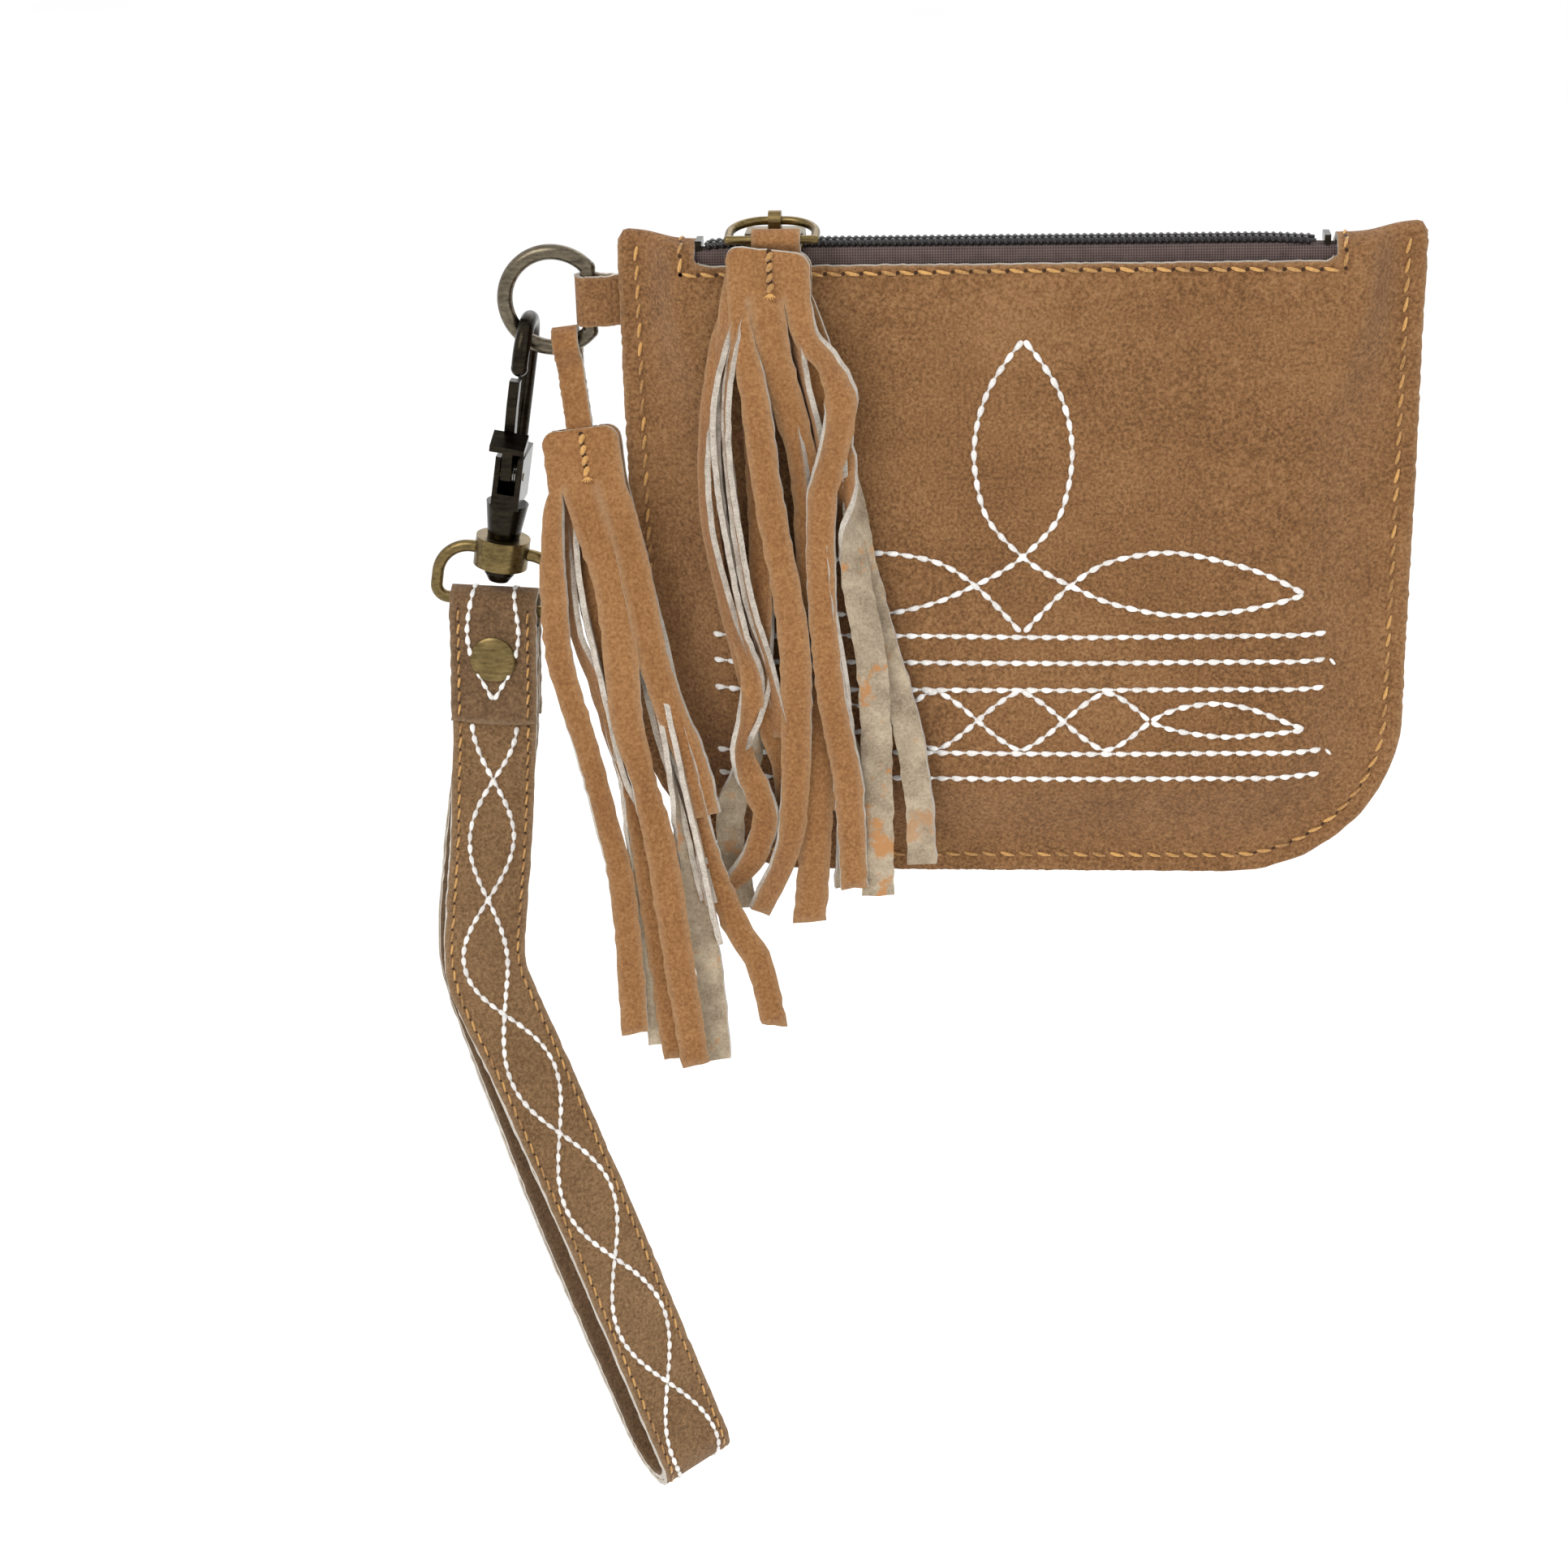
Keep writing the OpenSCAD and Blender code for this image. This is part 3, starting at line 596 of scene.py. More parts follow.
def face_plan(inset, top, columns, straight, curved):
    """x and z of a face's points, from the bottom edge up, with the bottom corners rounded."""
    r = ROUND - inset
    angles = np.linspace(90, 0, curved + 1)
    z = np.concatenate([
        -(HIGH - ROUND) - r * np.sin(np.radians(angles[:-1])),
        np.linspace(-(HIGH - ROUND), top, straight + 1),
    ])
    left = np.full(len(z), float(inset))
    left[:curved] = ROUND - r * np.cos(np.radians(angles[:-1]))
    across = np.linspace(0, 1, columns + 1)
    x = left[:, None] + (WIDE - 2 * left)[:, None] * across[None]
    return x, np.repeat(z[:, None], columns + 1, axis=1)


def round_slot(points, front_row, back_row):
    """Rounds the slot's four corners by moving the points on its rim towards the opening."""
    radius = 2.5
    for row, step in ((front_row, 1), (back_row, -1)):
        for col, way in ((SLOT_X0, 1), (SLOT_X1, -1)):
            corner = points[row, col].copy()
            for k in range(3):
                t = radius - k
                bulge = (radius - math.sqrt(max(radius**2 - t**2, 0))) * (1.0 if k else 0.3)
                points[row, col + way * k, 2] += bulge
                points[row + step * k, col, 0] += way * bulge
            points[row, col] = corner + [way * 0.74, 0, 0.74]


def build_pouch():
    """One sheet of suede from the front's bottom edge, over the top fold, to the back's bottom edge."""
    columns, straight, curved, fold = int(WIDE), 92, 26, 14
    x, z = face_plan(0, -SLOT_DROP, columns, straight, curved)
    front = np.stack([x, front_y(x, z), z], axis=-1)
    back = np.stack([x, back_y(x, z), z], axis=-1)[::-1]
    y_top, y_rear = front[-1, :, 1], back[0, :, 1]
    bend = (y_rear - y_top) / 2
    rows = []
    for angle in np.linspace(0, math.pi, fold + 1):
        rows.append(np.stack([
            x[-1], (y_top + y_rear) / 2 - bend * math.cos(angle), bend * (math.sin(angle) - 1)
        ], axis=-1))
    points = np.concatenate([front, np.array(rows), back])
    points[:, :, 2] += droop(points[:, :, 0], points[:, :, 2])
    points[:, :, 0] += 0.12 * ripple(points[:, :, 2], points[:, :, 1] * 5, 20, 8)
    slot_row, back_row = len(front) - 1, len(front) + fold + 1
    round_slot(points, slot_row, back_row)
    keep = np.ones((points.shape[0] - 1, points.shape[1] - 1), bool)
    keep[slot_row:back_row, SLOT_X0:SLOT_X1] = False
    sheet = Sheet()
    sheet.grid(points, keep)
    shape = Shape()
    sheet.solid(shape, 0.0, LEATHER, rough=0.07)
    shape.piece("pouch_suede_shell", "pouch", LEATHER_SET, "suede", ["front_panel", "back_panel"])


def build_lining():
    """The cloth bag inside: a front and a back sheet, sewn into the same seam."""
    shape = Shape()
    x, z = face_plan(1.5, -7.2, 60, 36, 12)
    for face, offset, flip in ((front_y, 1.62, False), (back_y, -1.62, True)):
        y = face(x, z) + offset
        y = np.where(inset_of(x, z) < 6, Y_MID + (0.25 if flip else -0.25), y)
        sheet = Sheet()
        sheet.grid(np.stack([x, y, z], axis=-1), flip=flip)
        sheet.solid(shape, 0.2, 0.2, kinds=(0, 0, 0), rough=0.05)
    shape.piece("lining_bag", "pouch", [LINING], "lining_cloth", ["lining_front", "lining_back"])


def facing(surface, x, z, back=False):
    """Point and outward normal of a face surface at x, z."""
    h = 0.4
    y = surface(x, z)
    slope_x = (surface(x + h, z) - surface(x - h, z)) / (2 * h)
    slope_z = (surface(x, z + h) - surface(x, z - h)) / (2 * h)
    normal = unit(np.stack([slope_x, -np.ones_like(y), slope_z], axis=-1))
    return np.stack([x, y, z + droop(x, z)], axis=-1), -normal if back else normal


FEW = 60


def sew_on(shape, surface, line, back=False, **how):
    """A row of stitches along x, z points on one face of the pouch. A line of few points is smoothed."""
    flat = np.array([(x, 0.0, z) for x, z in line])
    if len(line) < FEW:
        flat = smooth_line(flat, 1.0)
    points, normals = facing(surface, flat[:, 0], flat[:, 2], back)
    sew(shape, points, normals, **how)


def seam_line():
    """The seam's course, SEAM_INSET inside the edge: down, round the bottom and up."""
    d, r = SEAM_INSET, ROUND - SEAM_INSET
    down = [(d, z) for z in np.arange(-2.5, -(HIGH - ROUND), -1.0)]
    angles = np.linspace(0, math.pi / 2, 50)
    half = down + [(ROUND - r * math.cos(a), -(HIGH - ROUND) - r * math.sin(a)) for a in angles]
    bottom = [(x, -(HIGH - d)) for x in np.arange(ROUND + 1, WIDE - ROUND, 1.0)]
    return half + bottom + [(WIDE - x, z) for x, z in half[::-1]]


TAN = dict(pitch=3.7, gap=0.95, width=0.76, rise=0.56, slant=0.32, holes=0.4, sink=0.0)
FINE = dict(pitch=3.0, gap=0.8, width=0.54, rise=0.36, slant=0.18, holes=0.28, sink=0.04)
WHITE = dict(pitch=2.95, gap=0.7, width=1.2, rise=0.7, sink=0.08, link=0.5)


def build_seams():
    """Tan stitches round the pouch's edge and round the slot."""
    seam = Shape()
    for surface, back in ((front_y, False), (back_y, True)):
        sew_on(seam, surface, seam_line(), back, **TAN)
    seam.piece("seam_stitching", "pouch", TAN_SET, "thread_tan", ["seam_thread"])
    slot = Shape()
    low = -SLOT_DROP - 1.75
    for surface, back in ((front_y, False), (back_y, True)):
        along = [(x, low - 0.2 * math.sin(x / 19)) for x in np.arange(SLOT_X0 - 2.5, SLOT_X1 + 2.5, 1.0)]
        sew_on(slot, surface, along, back, **dict(TAN, pitch=3.4, gap=0.8))
    for x in (SLOT_X0 - 2.5, SLOT_X1 + 2.5):
        over_fold(slot, x, low)
    slot.piece("slot_stitching", "pouch", TAN_SET, "thread_tan", ["slot_thread"])


def over_fold(shape, x, low):
    """Stitches that close one end of the slot, from the front over the fold to the back."""
    y0, y1 = float(front_y(x, -SLOT_DROP)), float(back_y(x, -SLOT_DROP))
    bend, middle = (y1 - y0) / 2, (y0 + y1) / 2
    line = [(x, y0, z + float(droop(x, z))) for z in (low, (low - bend) / 2)]
    normals = [(0, -1, 0), (0, -1, 0)]
    for a in np.linspace(0, math.pi, 15):
        z = bend * (math.sin(a) - 1)
        line.append((x, middle - bend * math.cos(a), z + float(droop(x, z))))
        normals.append((0, -math.cos(a), math.sin(a)))
    line.append((x, y1, low + float(droop(x, low))))
    normals.append((0, 1, 0))
    sew(shape, line, normals, **TAN)


def mirrored(line, axis):
    """The same line on the other side of an upright axis."""
    return [(2 * axis - x, z) for x, z in line]


def build_boot_stitch():
    """White western stitching: a tall leaf, two side leaves, five rows and a lattice between rows."""
    middle = 77.0
    shape = Shape()

    def draw(line, style=WHITE):
        sew_on(shape, front_y, [(77.5 + (x - 77.5) * 0.987, z * 0.987 + 1.5) for x, z in line], **style)

    tall = [(77, -22.2), (73.6, -26.6), (70.2, -32.3), (68.1, -39), (67.5, -45.8), (68.6, -53.4),
            (70.8, -59), (76.8, -65.5)]
    lower = [(81.6, -69), (86.4, -71.6), (93.9, -75.1), (103.8, -77.5), (111, -77.7), (120.2, -76.8),
             (127.8, -75.1), (132.2, -73.6)]
    upper = [(77.2, -81.5), (81.6, -76.4), (86.4, -71.6), (91.8, -67.7), (97.9, -65.7), (107, -64.9),
             (119.1, -67.6), (126.2, -70.3), (132.2, -73.6)]
    leaf_line = tall + lower
    for line in (leaf_line, mirrored(leaf_line, middle), upper, mirrored(upper, middle)):
        draw(line)
    for z in (-82.2, -87.7, -93.5, -107.1, -112.6):
        row = [(x, z + 0.15 * math.sin(x / 16 + z)) for x in np.arange(15.0, 138.0, 1.0)]
        draw(row)
    for z in (-87.7, -107.1):
        draw([(137.5, z), (138.6, z - 0.5), (138.9, z - 1.8)], dict(WHITE, width=0.7))
    for way in (1, -1):
        zigzag = []
        for x in np.linspace(102.5, 50.9, 70):
            swing = math.sin(math.pi * (102.5 - x) / 17.2)
            zigzag.append((x, -100.2 + way * 6.5 * (0.45 * swing + 0.55 * math.asin(swing) * 2 / math.pi)))
        draw(zigzag)
    above = [(102.5, -100.2), (106, -98.2), (110, -97), (115.8, -96.4), (122.2, -97.5), (128, -99.8),
             (133.3, -102.1)]
    below = [(102.5, -100.2), (105.4, -101.5), (109.3, -102.5), (116.6, -103.5), (123.9, -103.1),
             (133.3, -102.1)]
    for line in (above, below, mirrored(above, middle), mirrored(below, middle)):
        draw(line)
    shape.piece("western_stitching", "pouch", [THREAD_WHITE], "thread_white", ["boot_stitch"])


# ---------------------------------------------------------------- zip
def zip_dip(x):
    """The chain sinks a little where it runs under the suede at the slot's ends."""
    return -0.6 * (smooth((SLOT_X0 + 9 - x) / 12) + smooth((x - SLOT_X1 + 14) / 16))


def build_zip():
    """Two cloth tapes that hang inside the slot, each folded over at the top, and their coils."""
    x0, x1 = drawn("zip_tape_front")[0][0], drawn("zip_tape_front")[1][0]
    xs = np.arange(x0, x1 + 0.01, (x1 - x0) / 150)
    for side, name in ((-1, "front"), (1, "back")):
        outline = smooth_line([
            (2.5, 0, -13.6), (2.65, 0, -9), (2.62, 0, -5.2), (2.45, 0, -3.9), (1.9, 0, -3.2), (1.2, 0, -3.5),
            (0.62, 0, -3.62)
        ], 0.4)
        out, height = outline[:, 0][None], outline[:, 2][None]
        wave = 0.06 * np.sin(xs * 2.1)[:, None] + 0.05 * ripple(xs, xs * 0, 14, 21)[:, None]
        y = ZIP_Y + side * (out + wave * smooth(out - 1))
        z = height + zip_dip(xs)[:, None] * smooth((height + 9) / 5)
        grid = np.stack([np.repeat(xs[:, None], len(outline), 1), y, z], axis=-1)
        sheet = Sheet()
        sheet.grid(grid, flip=side > 0)
        shape = Shape()
        sheet.solid(shape, 0.24, 0.24, kinds=(0, 0, 0), rough=0.03)
        shape.piece(f"tape_{name}", "pouch", [TAPE], "zip_tape", [f"zip_tape_{name}"])
        build_coil(side, name)


def build_coil(side, name):
    """One row of the coil: a nylon helix whose heads reach for the other row, with its core cord."""
    pitch, radius = 1.3, 0.36
    start, end = coil_low[0] + 0.6, coil_high[0] - 0.6
    turns = int((end - start) / pitch)
    phase = 0.0 if side < 0 else math.pi
    a = np.linspace(0, turns * 2 * math.pi, turns * 14 + 1)
    reach, height = 0.95, 0.42
    y = ZIP_Y + side * (1.3 - reach * np.cos(a + phase) * (1 - 0.12 * np.cos(2 * a)))
    x = start + pitch * a / (2 * math.pi)
    shape = Shape()
    tube(shape, np.stack([x, y, -2.35 + height * np.sin(a + phase) + zip_dip(x)], axis=-1), radius, 7)
    core = np.arange(start, end, 1.0)
    tube(shape, np.stack([core, core * 0 + ZIP_Y + side * 1.6, -2.3 + zip_dip(core)], axis=-1), 0.42, 6)
    shape.piece(f"coil_{name}", "pouch", [COIL], "coil", [f"zip_coil_{name}"])


# ---------------------------------------------------------------- tab that holds the D ring
def build_tab():
    """A short suede strap folded round the D ring's bar, both ends sewn into the side seam."""
    bar_x, bar_y = -6.2, Y_MID
    low, high = drawn("ring_tab")[0][2], drawn("ring_tab")[1][2]
    half = 2.05
    line = [(7.4, bar_y - 0.3), (2.0, bar_y - 0.33), (0.2, bar_y - 0.42), (-2.6, bar_y - 1.35)]
    angles = np.linspace(math.radians(62), math.radians(298), 9)
    line += [(bar_x + half * math.cos(a), bar_y - half * math.sin(a)) for a in angles]
    line += [(x, 2 * bar_y - y) for x, y in line[:4][::-1]]
    path = smooth_line([(x, y, 0.0) for x, y in line], 0.5)
    heights = np.linspace(low, high, 13)
    grid = np.repeat(path[None], len(heights), 0)
    grid[:, :, 2] = heights[:, None] + 0.12 * ripple(path[:, 0], path[:, 1], 5, 31)[None]
    sheet = Sheet()
    sheet.grid(grid, flip=True)
    shape = Shape()
    sheet.solid(shape, 0.5, 0.5, rough=0.06)
    points = np.array(shape.points)
    buried = smooth((points[:, 0] + 2.5) / 2.5)
    points[:, 1] = bar_y + (points[:, 1] - bar_y) * (1 - 0.26 * buried)
    shape.points = [tuple(p) for p in points]
    shape.piece("ring_tab_suede", "pouch", LEATHER_SET, "suede", ["ring_tab"])


# ---------------------------------------------------------------- tassels
STEP = 1.8
ACROSS = 5
FLUTTER = 0.3
STRIP_HALF = 0.56


def strip_grid(rows, seed):
    """Points of one suede strip. A row of the course is x, z, depth, twist in degrees and width."""
    rows = [(x, d, z, twist, wide) for x, z, d, twist, wide in rows]
    line = smooth_line(rows, STEP)
    place, twist, wide = line[:, :3], np.radians(line[:, 3]), line[:, 4]
    along = unit(np.gradient(place, axis=0))
    side = unit(np.array([1.0, 0, 0]) - along * along[:, :1])
    face = np.cross(along, side)
    side_t = side * np.cos(twist)[:, None] + face * np.sin(twist)[:, None]
    face_t = np.cross(along, side_t)
    run = np.arange(len(line)) * STEP
    free = smooth((run - 4) / 12)
    bow = free * FLUTTER * np.sin(run / 8.5 + seed * 1.7)
    a = np.linspace(-1, 1, ACROSS)
    rng = np.random.default_rng(100 + seed)
    grid = place[:, None] + side_t[:, None] * (a[None, :, None] * wide[:, None, None] / 2)
    cup = (1 - a**2)[None] * 0.35 * free[:, None] * math.sin(seed * 2.3) + bow[:, None]
    grid = grid + face_t[:, None] * cup[:, :, None]
    ragged = rng.normal(0, 0.1, (len(line), 2)) * free[:, None]
    grid[:, 0] -= side_t * ragged[:, :1]
    grid[:, -1] += side_t * ragged[:, 1:]
    grid[-1] += along[-1] * (a * rng.uniform(-0.9, 0.9))[:, None]
    return grid


def fringe(shape, head, strips, depth, tones, seed=0, bulge=0.0, slant=0.0):
    """A layer cut from one sheet: a head with round shoulders, then strips that hang from its lower edge.

    head is (left, right, top, cut); a strip is (start x, end x, course below the cut). bulge moves the
    head's top in depth, and slant lowers its right end."""
    left, right, top, cut = head
    centre, half = (left + right) / 2, (right - left) / 2
    shoulder = 2.6
    sheet = Sheet()
    for number, (x0, x1, course) in enumerate(strips):
        rows = [((x0 + x1) / 2, cut, depth, 0.0, x1 - x0)] + course
        grid = strip_grid(rows, seed + number)
        heights = np.concatenate([top - shoulder * (1 - np.cos(np.linspace(0, math.pi / 2, 6))),
                                  np.linspace(top - shoulder, cut, 6)[1:]])
        block = []
        for z in heights[:-1]:
            t = max(0.0, shoulder - (top - z))
            narrow = (half - shoulder + math.sqrt(shoulder**2 - t**2)) / half
            lift = float(smooth((z - cut) / (top - cut)))
            xs = centre + (np.linspace(x0, x1, ACROSS) - centre) * narrow
            low = slant * lift * (xs - left) / (right - left)
            block.append(np.stack([xs, np.full(ACROSS, depth + bulge * lift), z - low], axis=-1))
        at_cut = (np.linspace(x0, x1, ACROSS), np.full(ACROSS, depth), np.full(ACROSS, cut))
        grid[0] = np.stack(at_cut, axis=-1)
        sheet.grid(np.concatenate([block, grid]), flip=True, tone=tones[number % len(tones)])
    sheet.solid(shape, STRIP_HALF, STRIP_HALF, rough=0.05)


def loose_strip(shape, course, seed, tone):
    """A strip from the middle of the roll, whose top end is hidden in the head."""
    sheet = Sheet()
    sheet.grid(strip_grid(course, seed), flip=True, tone=tone)
    sheet.solid(shape, STRIP_HALF, STRIP_HALF, rough=0.05)


def folded_band(radius, aside, legs, turns, xs, step):
    """Points of a band round a bar: up behind at the distance aside, over on an arc and down in front."""
    arc = [(radius * math.cos(a), radius * math.sin(a)) for a in np.linspace(0, math.pi, turns)]
    outline = [(aside, z) for z in legs] + arc + [(-aside, z) for z in legs[::-1]]
    path = smooth_line([(y, 0.0, z) for y, z in outline], step)
    grid = np.zeros((len(path), len(xs), 3))
    grid[:, :, 0] = xs[None]
    grid[:, :, 1] = path[:, :1]
    grid[:, :, 2] = path[:, 2:]
    return grid


def loop(shape, radius, wide, length, shift=0.0):
    """The narrow suede loop that hangs a tassel on its ring."""
    thick = 1.1
    r = radius + thick / 2
    xs = np.linspace(-wide / 2, wide / 2, 9) + shift
    sheet = Sheet()
    sheet.grid(folded_band(r, thick / 2 + 0.04, np.linspace(-length, -r * 1.2, 8), 15, xs, 0.6)[::-1])
    sheet.solid(shape, thick / 2, thick / 2, rough=0.06)


def hang_front(points):
    """From the front ring's bar to the drawing: the tassel leans back a little to the pouch."""
    turn = np.array(Matrix.Rotation(math.radians(0.8), 3, "X"))
    return points @ turn.T + BAR


def under_bar(points):
    """From the front tassel's strips, drawn from just below and beside the bar, to the drawing."""
    return hang_front(points + [0.9, -0.4, -2.9])


def lean_side(points):
    """From the side tassel's own frame to the drawing: it leans forward over the pouch's edge."""
    forward, right = math.radians(-10.5), math.radians(-7)
    turn = np.array(Matrix.Rotation(forward, 3, "X") @ Matrix.Rotation(right, 3, "Y"))
    return points @ turn.T + SIDE_PIVOT


def chain_of(shape, x, top, depths, pitch):
    """A short line of tan stitches down a tassel's head, with a pale frayed end."""
    count, near, far = 4, depths[0], depths[1]
    line = [(x, near + (far - near) * i / (2 * count), top - i * pitch / 2) for i in range(2 * count + 1)]
    style = dict(gap=0.3, width=1.15, rise=0.7, slant=0.5, holes=0.5)
    sew(shape, line, [(0, -1, 0)] * len(line), pitch=pitch, **style)
    end = top - count * pitch
    for k in range(5):
        angle = -0.9 + 0.45 * k
        start = np.array([x, far, end])
        tip = start + [math.sin(angle) * 1.3, -0.35, -math.cos(angle) * 1.1]
        stitch(shape, start, tip, np.array([0, -1.0, 0]), 0.34, 0.3, 0.0, tone=0.8)


def build_front_tassel():
    """The fringe on the zip's ring: three broad strips in front, five behind and some rolled inside."""
    wide = 5.6
    shape = Shape()
    front = [
        (-9.2, -5.5, [(-6.4, -17, -1.9, 4, 4.6), (-4.6, -26, -2.3, 8, wide), (-2.9, -44, -2.6, 4, wide),
                      (-0.2, -62, -2.4, -6, wide),
                      (1.7, -78, -2.2, 0, 6.2), (1.4, -94, -2.4, 6, 6), (0.9, -107, -2.8, -10, 5.6),
                      (-0.9, -119, -3.0, -26, 5.4), (-7.2, -133.4, -2.6, -34, 5.2)]),
        (-5.5, 1.3, [(-0.8, -18, -1.6, 2, 6.4), (1.6, -29, -1.0, 4, 6.2), (3.7, -38, -0.2, 8, wide),
                     (4.8, -50, 0.2, 12, wide),
                     (5.1, -70, 0.2, 4, wide), (5.2, -90, 0.0, -6, 5.8), (5.8, -100, -0.2, -10, 5.8),
                     (4.6, -118, -0.3, -4, 6.2), (2.9, -136.8, -0.4, 2, 6.6)]),
        (1.3, 6.3, [(5.4, -15, -2.4, 24, 5.2), (9.4, -20, -3.2, 34, 5.8), (11.7, -26.4, -3.4, 6, 6.2),
                    (11.2, -32, -3.2, -24, 6), (9.5, -38.6, -3.0, -22, 5.8),
                    (7.7, -46, -2.9, -6, 5.8), (7.1, -57, -2.7, 2, 5.6), (7.2, -71, -2.6, 2, 5.6),
                    (8.7, -88, -2.6, 6, 5.8), (11.4, -105, -2.5, 2, 5.8), (12.3, -128.4, -2.4, -4, 5.4)]),
    ]
    fringe(shape, (-9.2, 6.3, 2.7, -7.9), front, -1.82, tones=(0.62, 0.56, 0.66), bulge=-0.9, slant=1.8)
    rear = [
        (-9.2, -5.6, [(-11.4, -18, 1.0, 30, 4.4), (-14.2, -34, -0.4, 62, 4.6), (-15.0, -49, -0.6, 64, 4.8),
                      (-13.6, -61, -0.6, 60, 5), (-10.2, -75, -0.4, 46, 5), (-6.2, -88, 0.2, 10, 5),
                      (-1.8, -101, 0.4, 0, 5.2), (-0.4, -112, 0.4, 0, 5.2)]),
        (-5.6, -2.6, [(-5.0, -30, 0.6, 30, 4.8), (-4.6, -60, 0.5, 20, 5), (-5.2, -86, 0.4, 60, 5.2),
                      (-9.0, -103, 0.2, 150, 5.4), (-12.4, -112, 0.1, 176, 5.6),
                      (-12.2, -125, 0.2, 182, 5.8), (-10.7, -134, 0.2, 180, 6)]),
        (-2.6, 0.4, [(0.8, -24, 0.9, 50, 4.2), (3.4, -40, 0.6, 58, 4.4), (5.0, -60, 0.8, 40, 4.6),
                     (9.0, -84, 0.8, 20, 5), (12.0, -104, 0.8, 140, 5.2), (10.8, -129, 0.8, 170, 5.2)]),
        (0.4, 3.2, [(5.0, -20, 0.8, 6, 4.6), (10.4, -32, -0.2, 4, 5.2), (11.9, -44, -0.8, 20, 5.2),
                    (12.6, -53, -1.0, 120, 5.2), (13.8, -64, -0.8, 168, 5.6),
                    (16.2, -78, -0.6, 178, 5.8), (17.0, -92, -0.4, 180, 6), (17.1, -110, -0.4, 184, 6.2),
                    (17.1, -130.4, -0.6, 180, 6.4)]),
        (3.2, 6.3, [(8.2, -20, 1.0, 20, 4.4), (12.2, -38, 0.9, 90, 4.8), (14.6, -58, 0.8, 160, 5.2),
                    (18.4, -76, 0.8, 176, 5.4), (22.6, -92, 0.6, 180, 5.6), (25.2, -108, 0.4, 188, 5.6),
                    (26.0, -124, 0.2, 180, 5.8)]),
    ]
    fringe(shape, (-9.2, 6.3, 0.3, -7.9), rear, 1.82, tones=(0.5, 0.7, 0.4, 0.9, 0.55), seed=10)
    curl = [(-7.4, -4, 0.0, 10, 4.6), (-10.4, -15, -0.4, 60, 4.4), (-12.6, -28, -0.6, 80, 4.6),
            (-12.6, -44, -0.6, 82, 4.8), (-11.2, -60, -0.8, 74, 5),
            (-9.2, -74, -1.2, 52, 5.2), (-6.9, -83, -1.8, 20, 4.6), (-8.0, -91.5, -2.4, -38, 5),
            (-9.6, -98, -2.8, -52, 5.2), (-7.0, -106, -3.2, -10, 5.4),
            (-5.2, -113, -3.3, 14, 5.4), (-8.2, -122, -3.2, -12, 5), (-14.6, -129.3, -2.8, -40, 4.2)]
    loose_strip(shape, curl, 21, 0.6)
    edge_on = [(-6.8, -4, 0.4, 20, 4.2), (-9.8, -20, 0.0, 70, 4.2), (-10.9, -34, -0.2, 84, 4.4),
               (-10.2, -50, -0.4, 84, 4.6), (-8.2, -66, -0.2, 76, 4.8), (-5.0, -80, 0.2, 60, 4.8),
               (-2.6, -96, 0.4, 30, 5)]
    loose_strip(shape, edge_on, 22, 0.5)
    inner = [(2.0, -4, 0.2, 10, 4), (4.2, -22, -0.4, 64, 4.2), (7.0, -36, -0.6, 70, 4.4),
             (8.2, -52, -0.6, 72, 4.4), (8.6, -70, -0.6, 60, 4.6), (10.2, -90, -0.8, 40, 5),
             (10.8, -112, -0.8, 20, 5)]
    loose_strip(shape, inner, 23, 0.4)
    for number, (shift, depth) in enumerate(((-1.2, 0.9), (1.1, -0.9))):
        tucked = [
            (x + shift * min(1, -z / 30), z, d + depth, twist, w) for x, z, d, twist, w in edge_on
        ]
        loose_strip(shape, tucked, 24 + number, 0.45)
    shape.piece("front_tassel_strips", "front_tassel", TASSEL_SET, "suede",
                ["tassel_front_fringe"], turn=under_bar)
    band = Shape()
    loop(band, 0.9, 9.0, 9.2, 0.9)
    band.piece("front_tassel_hanger", "front_tassel", TASSEL_SET, "suede",
               ["tassel_front_loop"], turn=hang_front)
    sewn = Shape()
    chain_of(sewn, -1.1, 1.6, (-3.42, -2.85), 2.0)
    sewn.piece("front_tassel_stitches", "front_tassel", TAN_SET, "thread_tan",
                ["tassel_front_thread"], turn=under_bar)


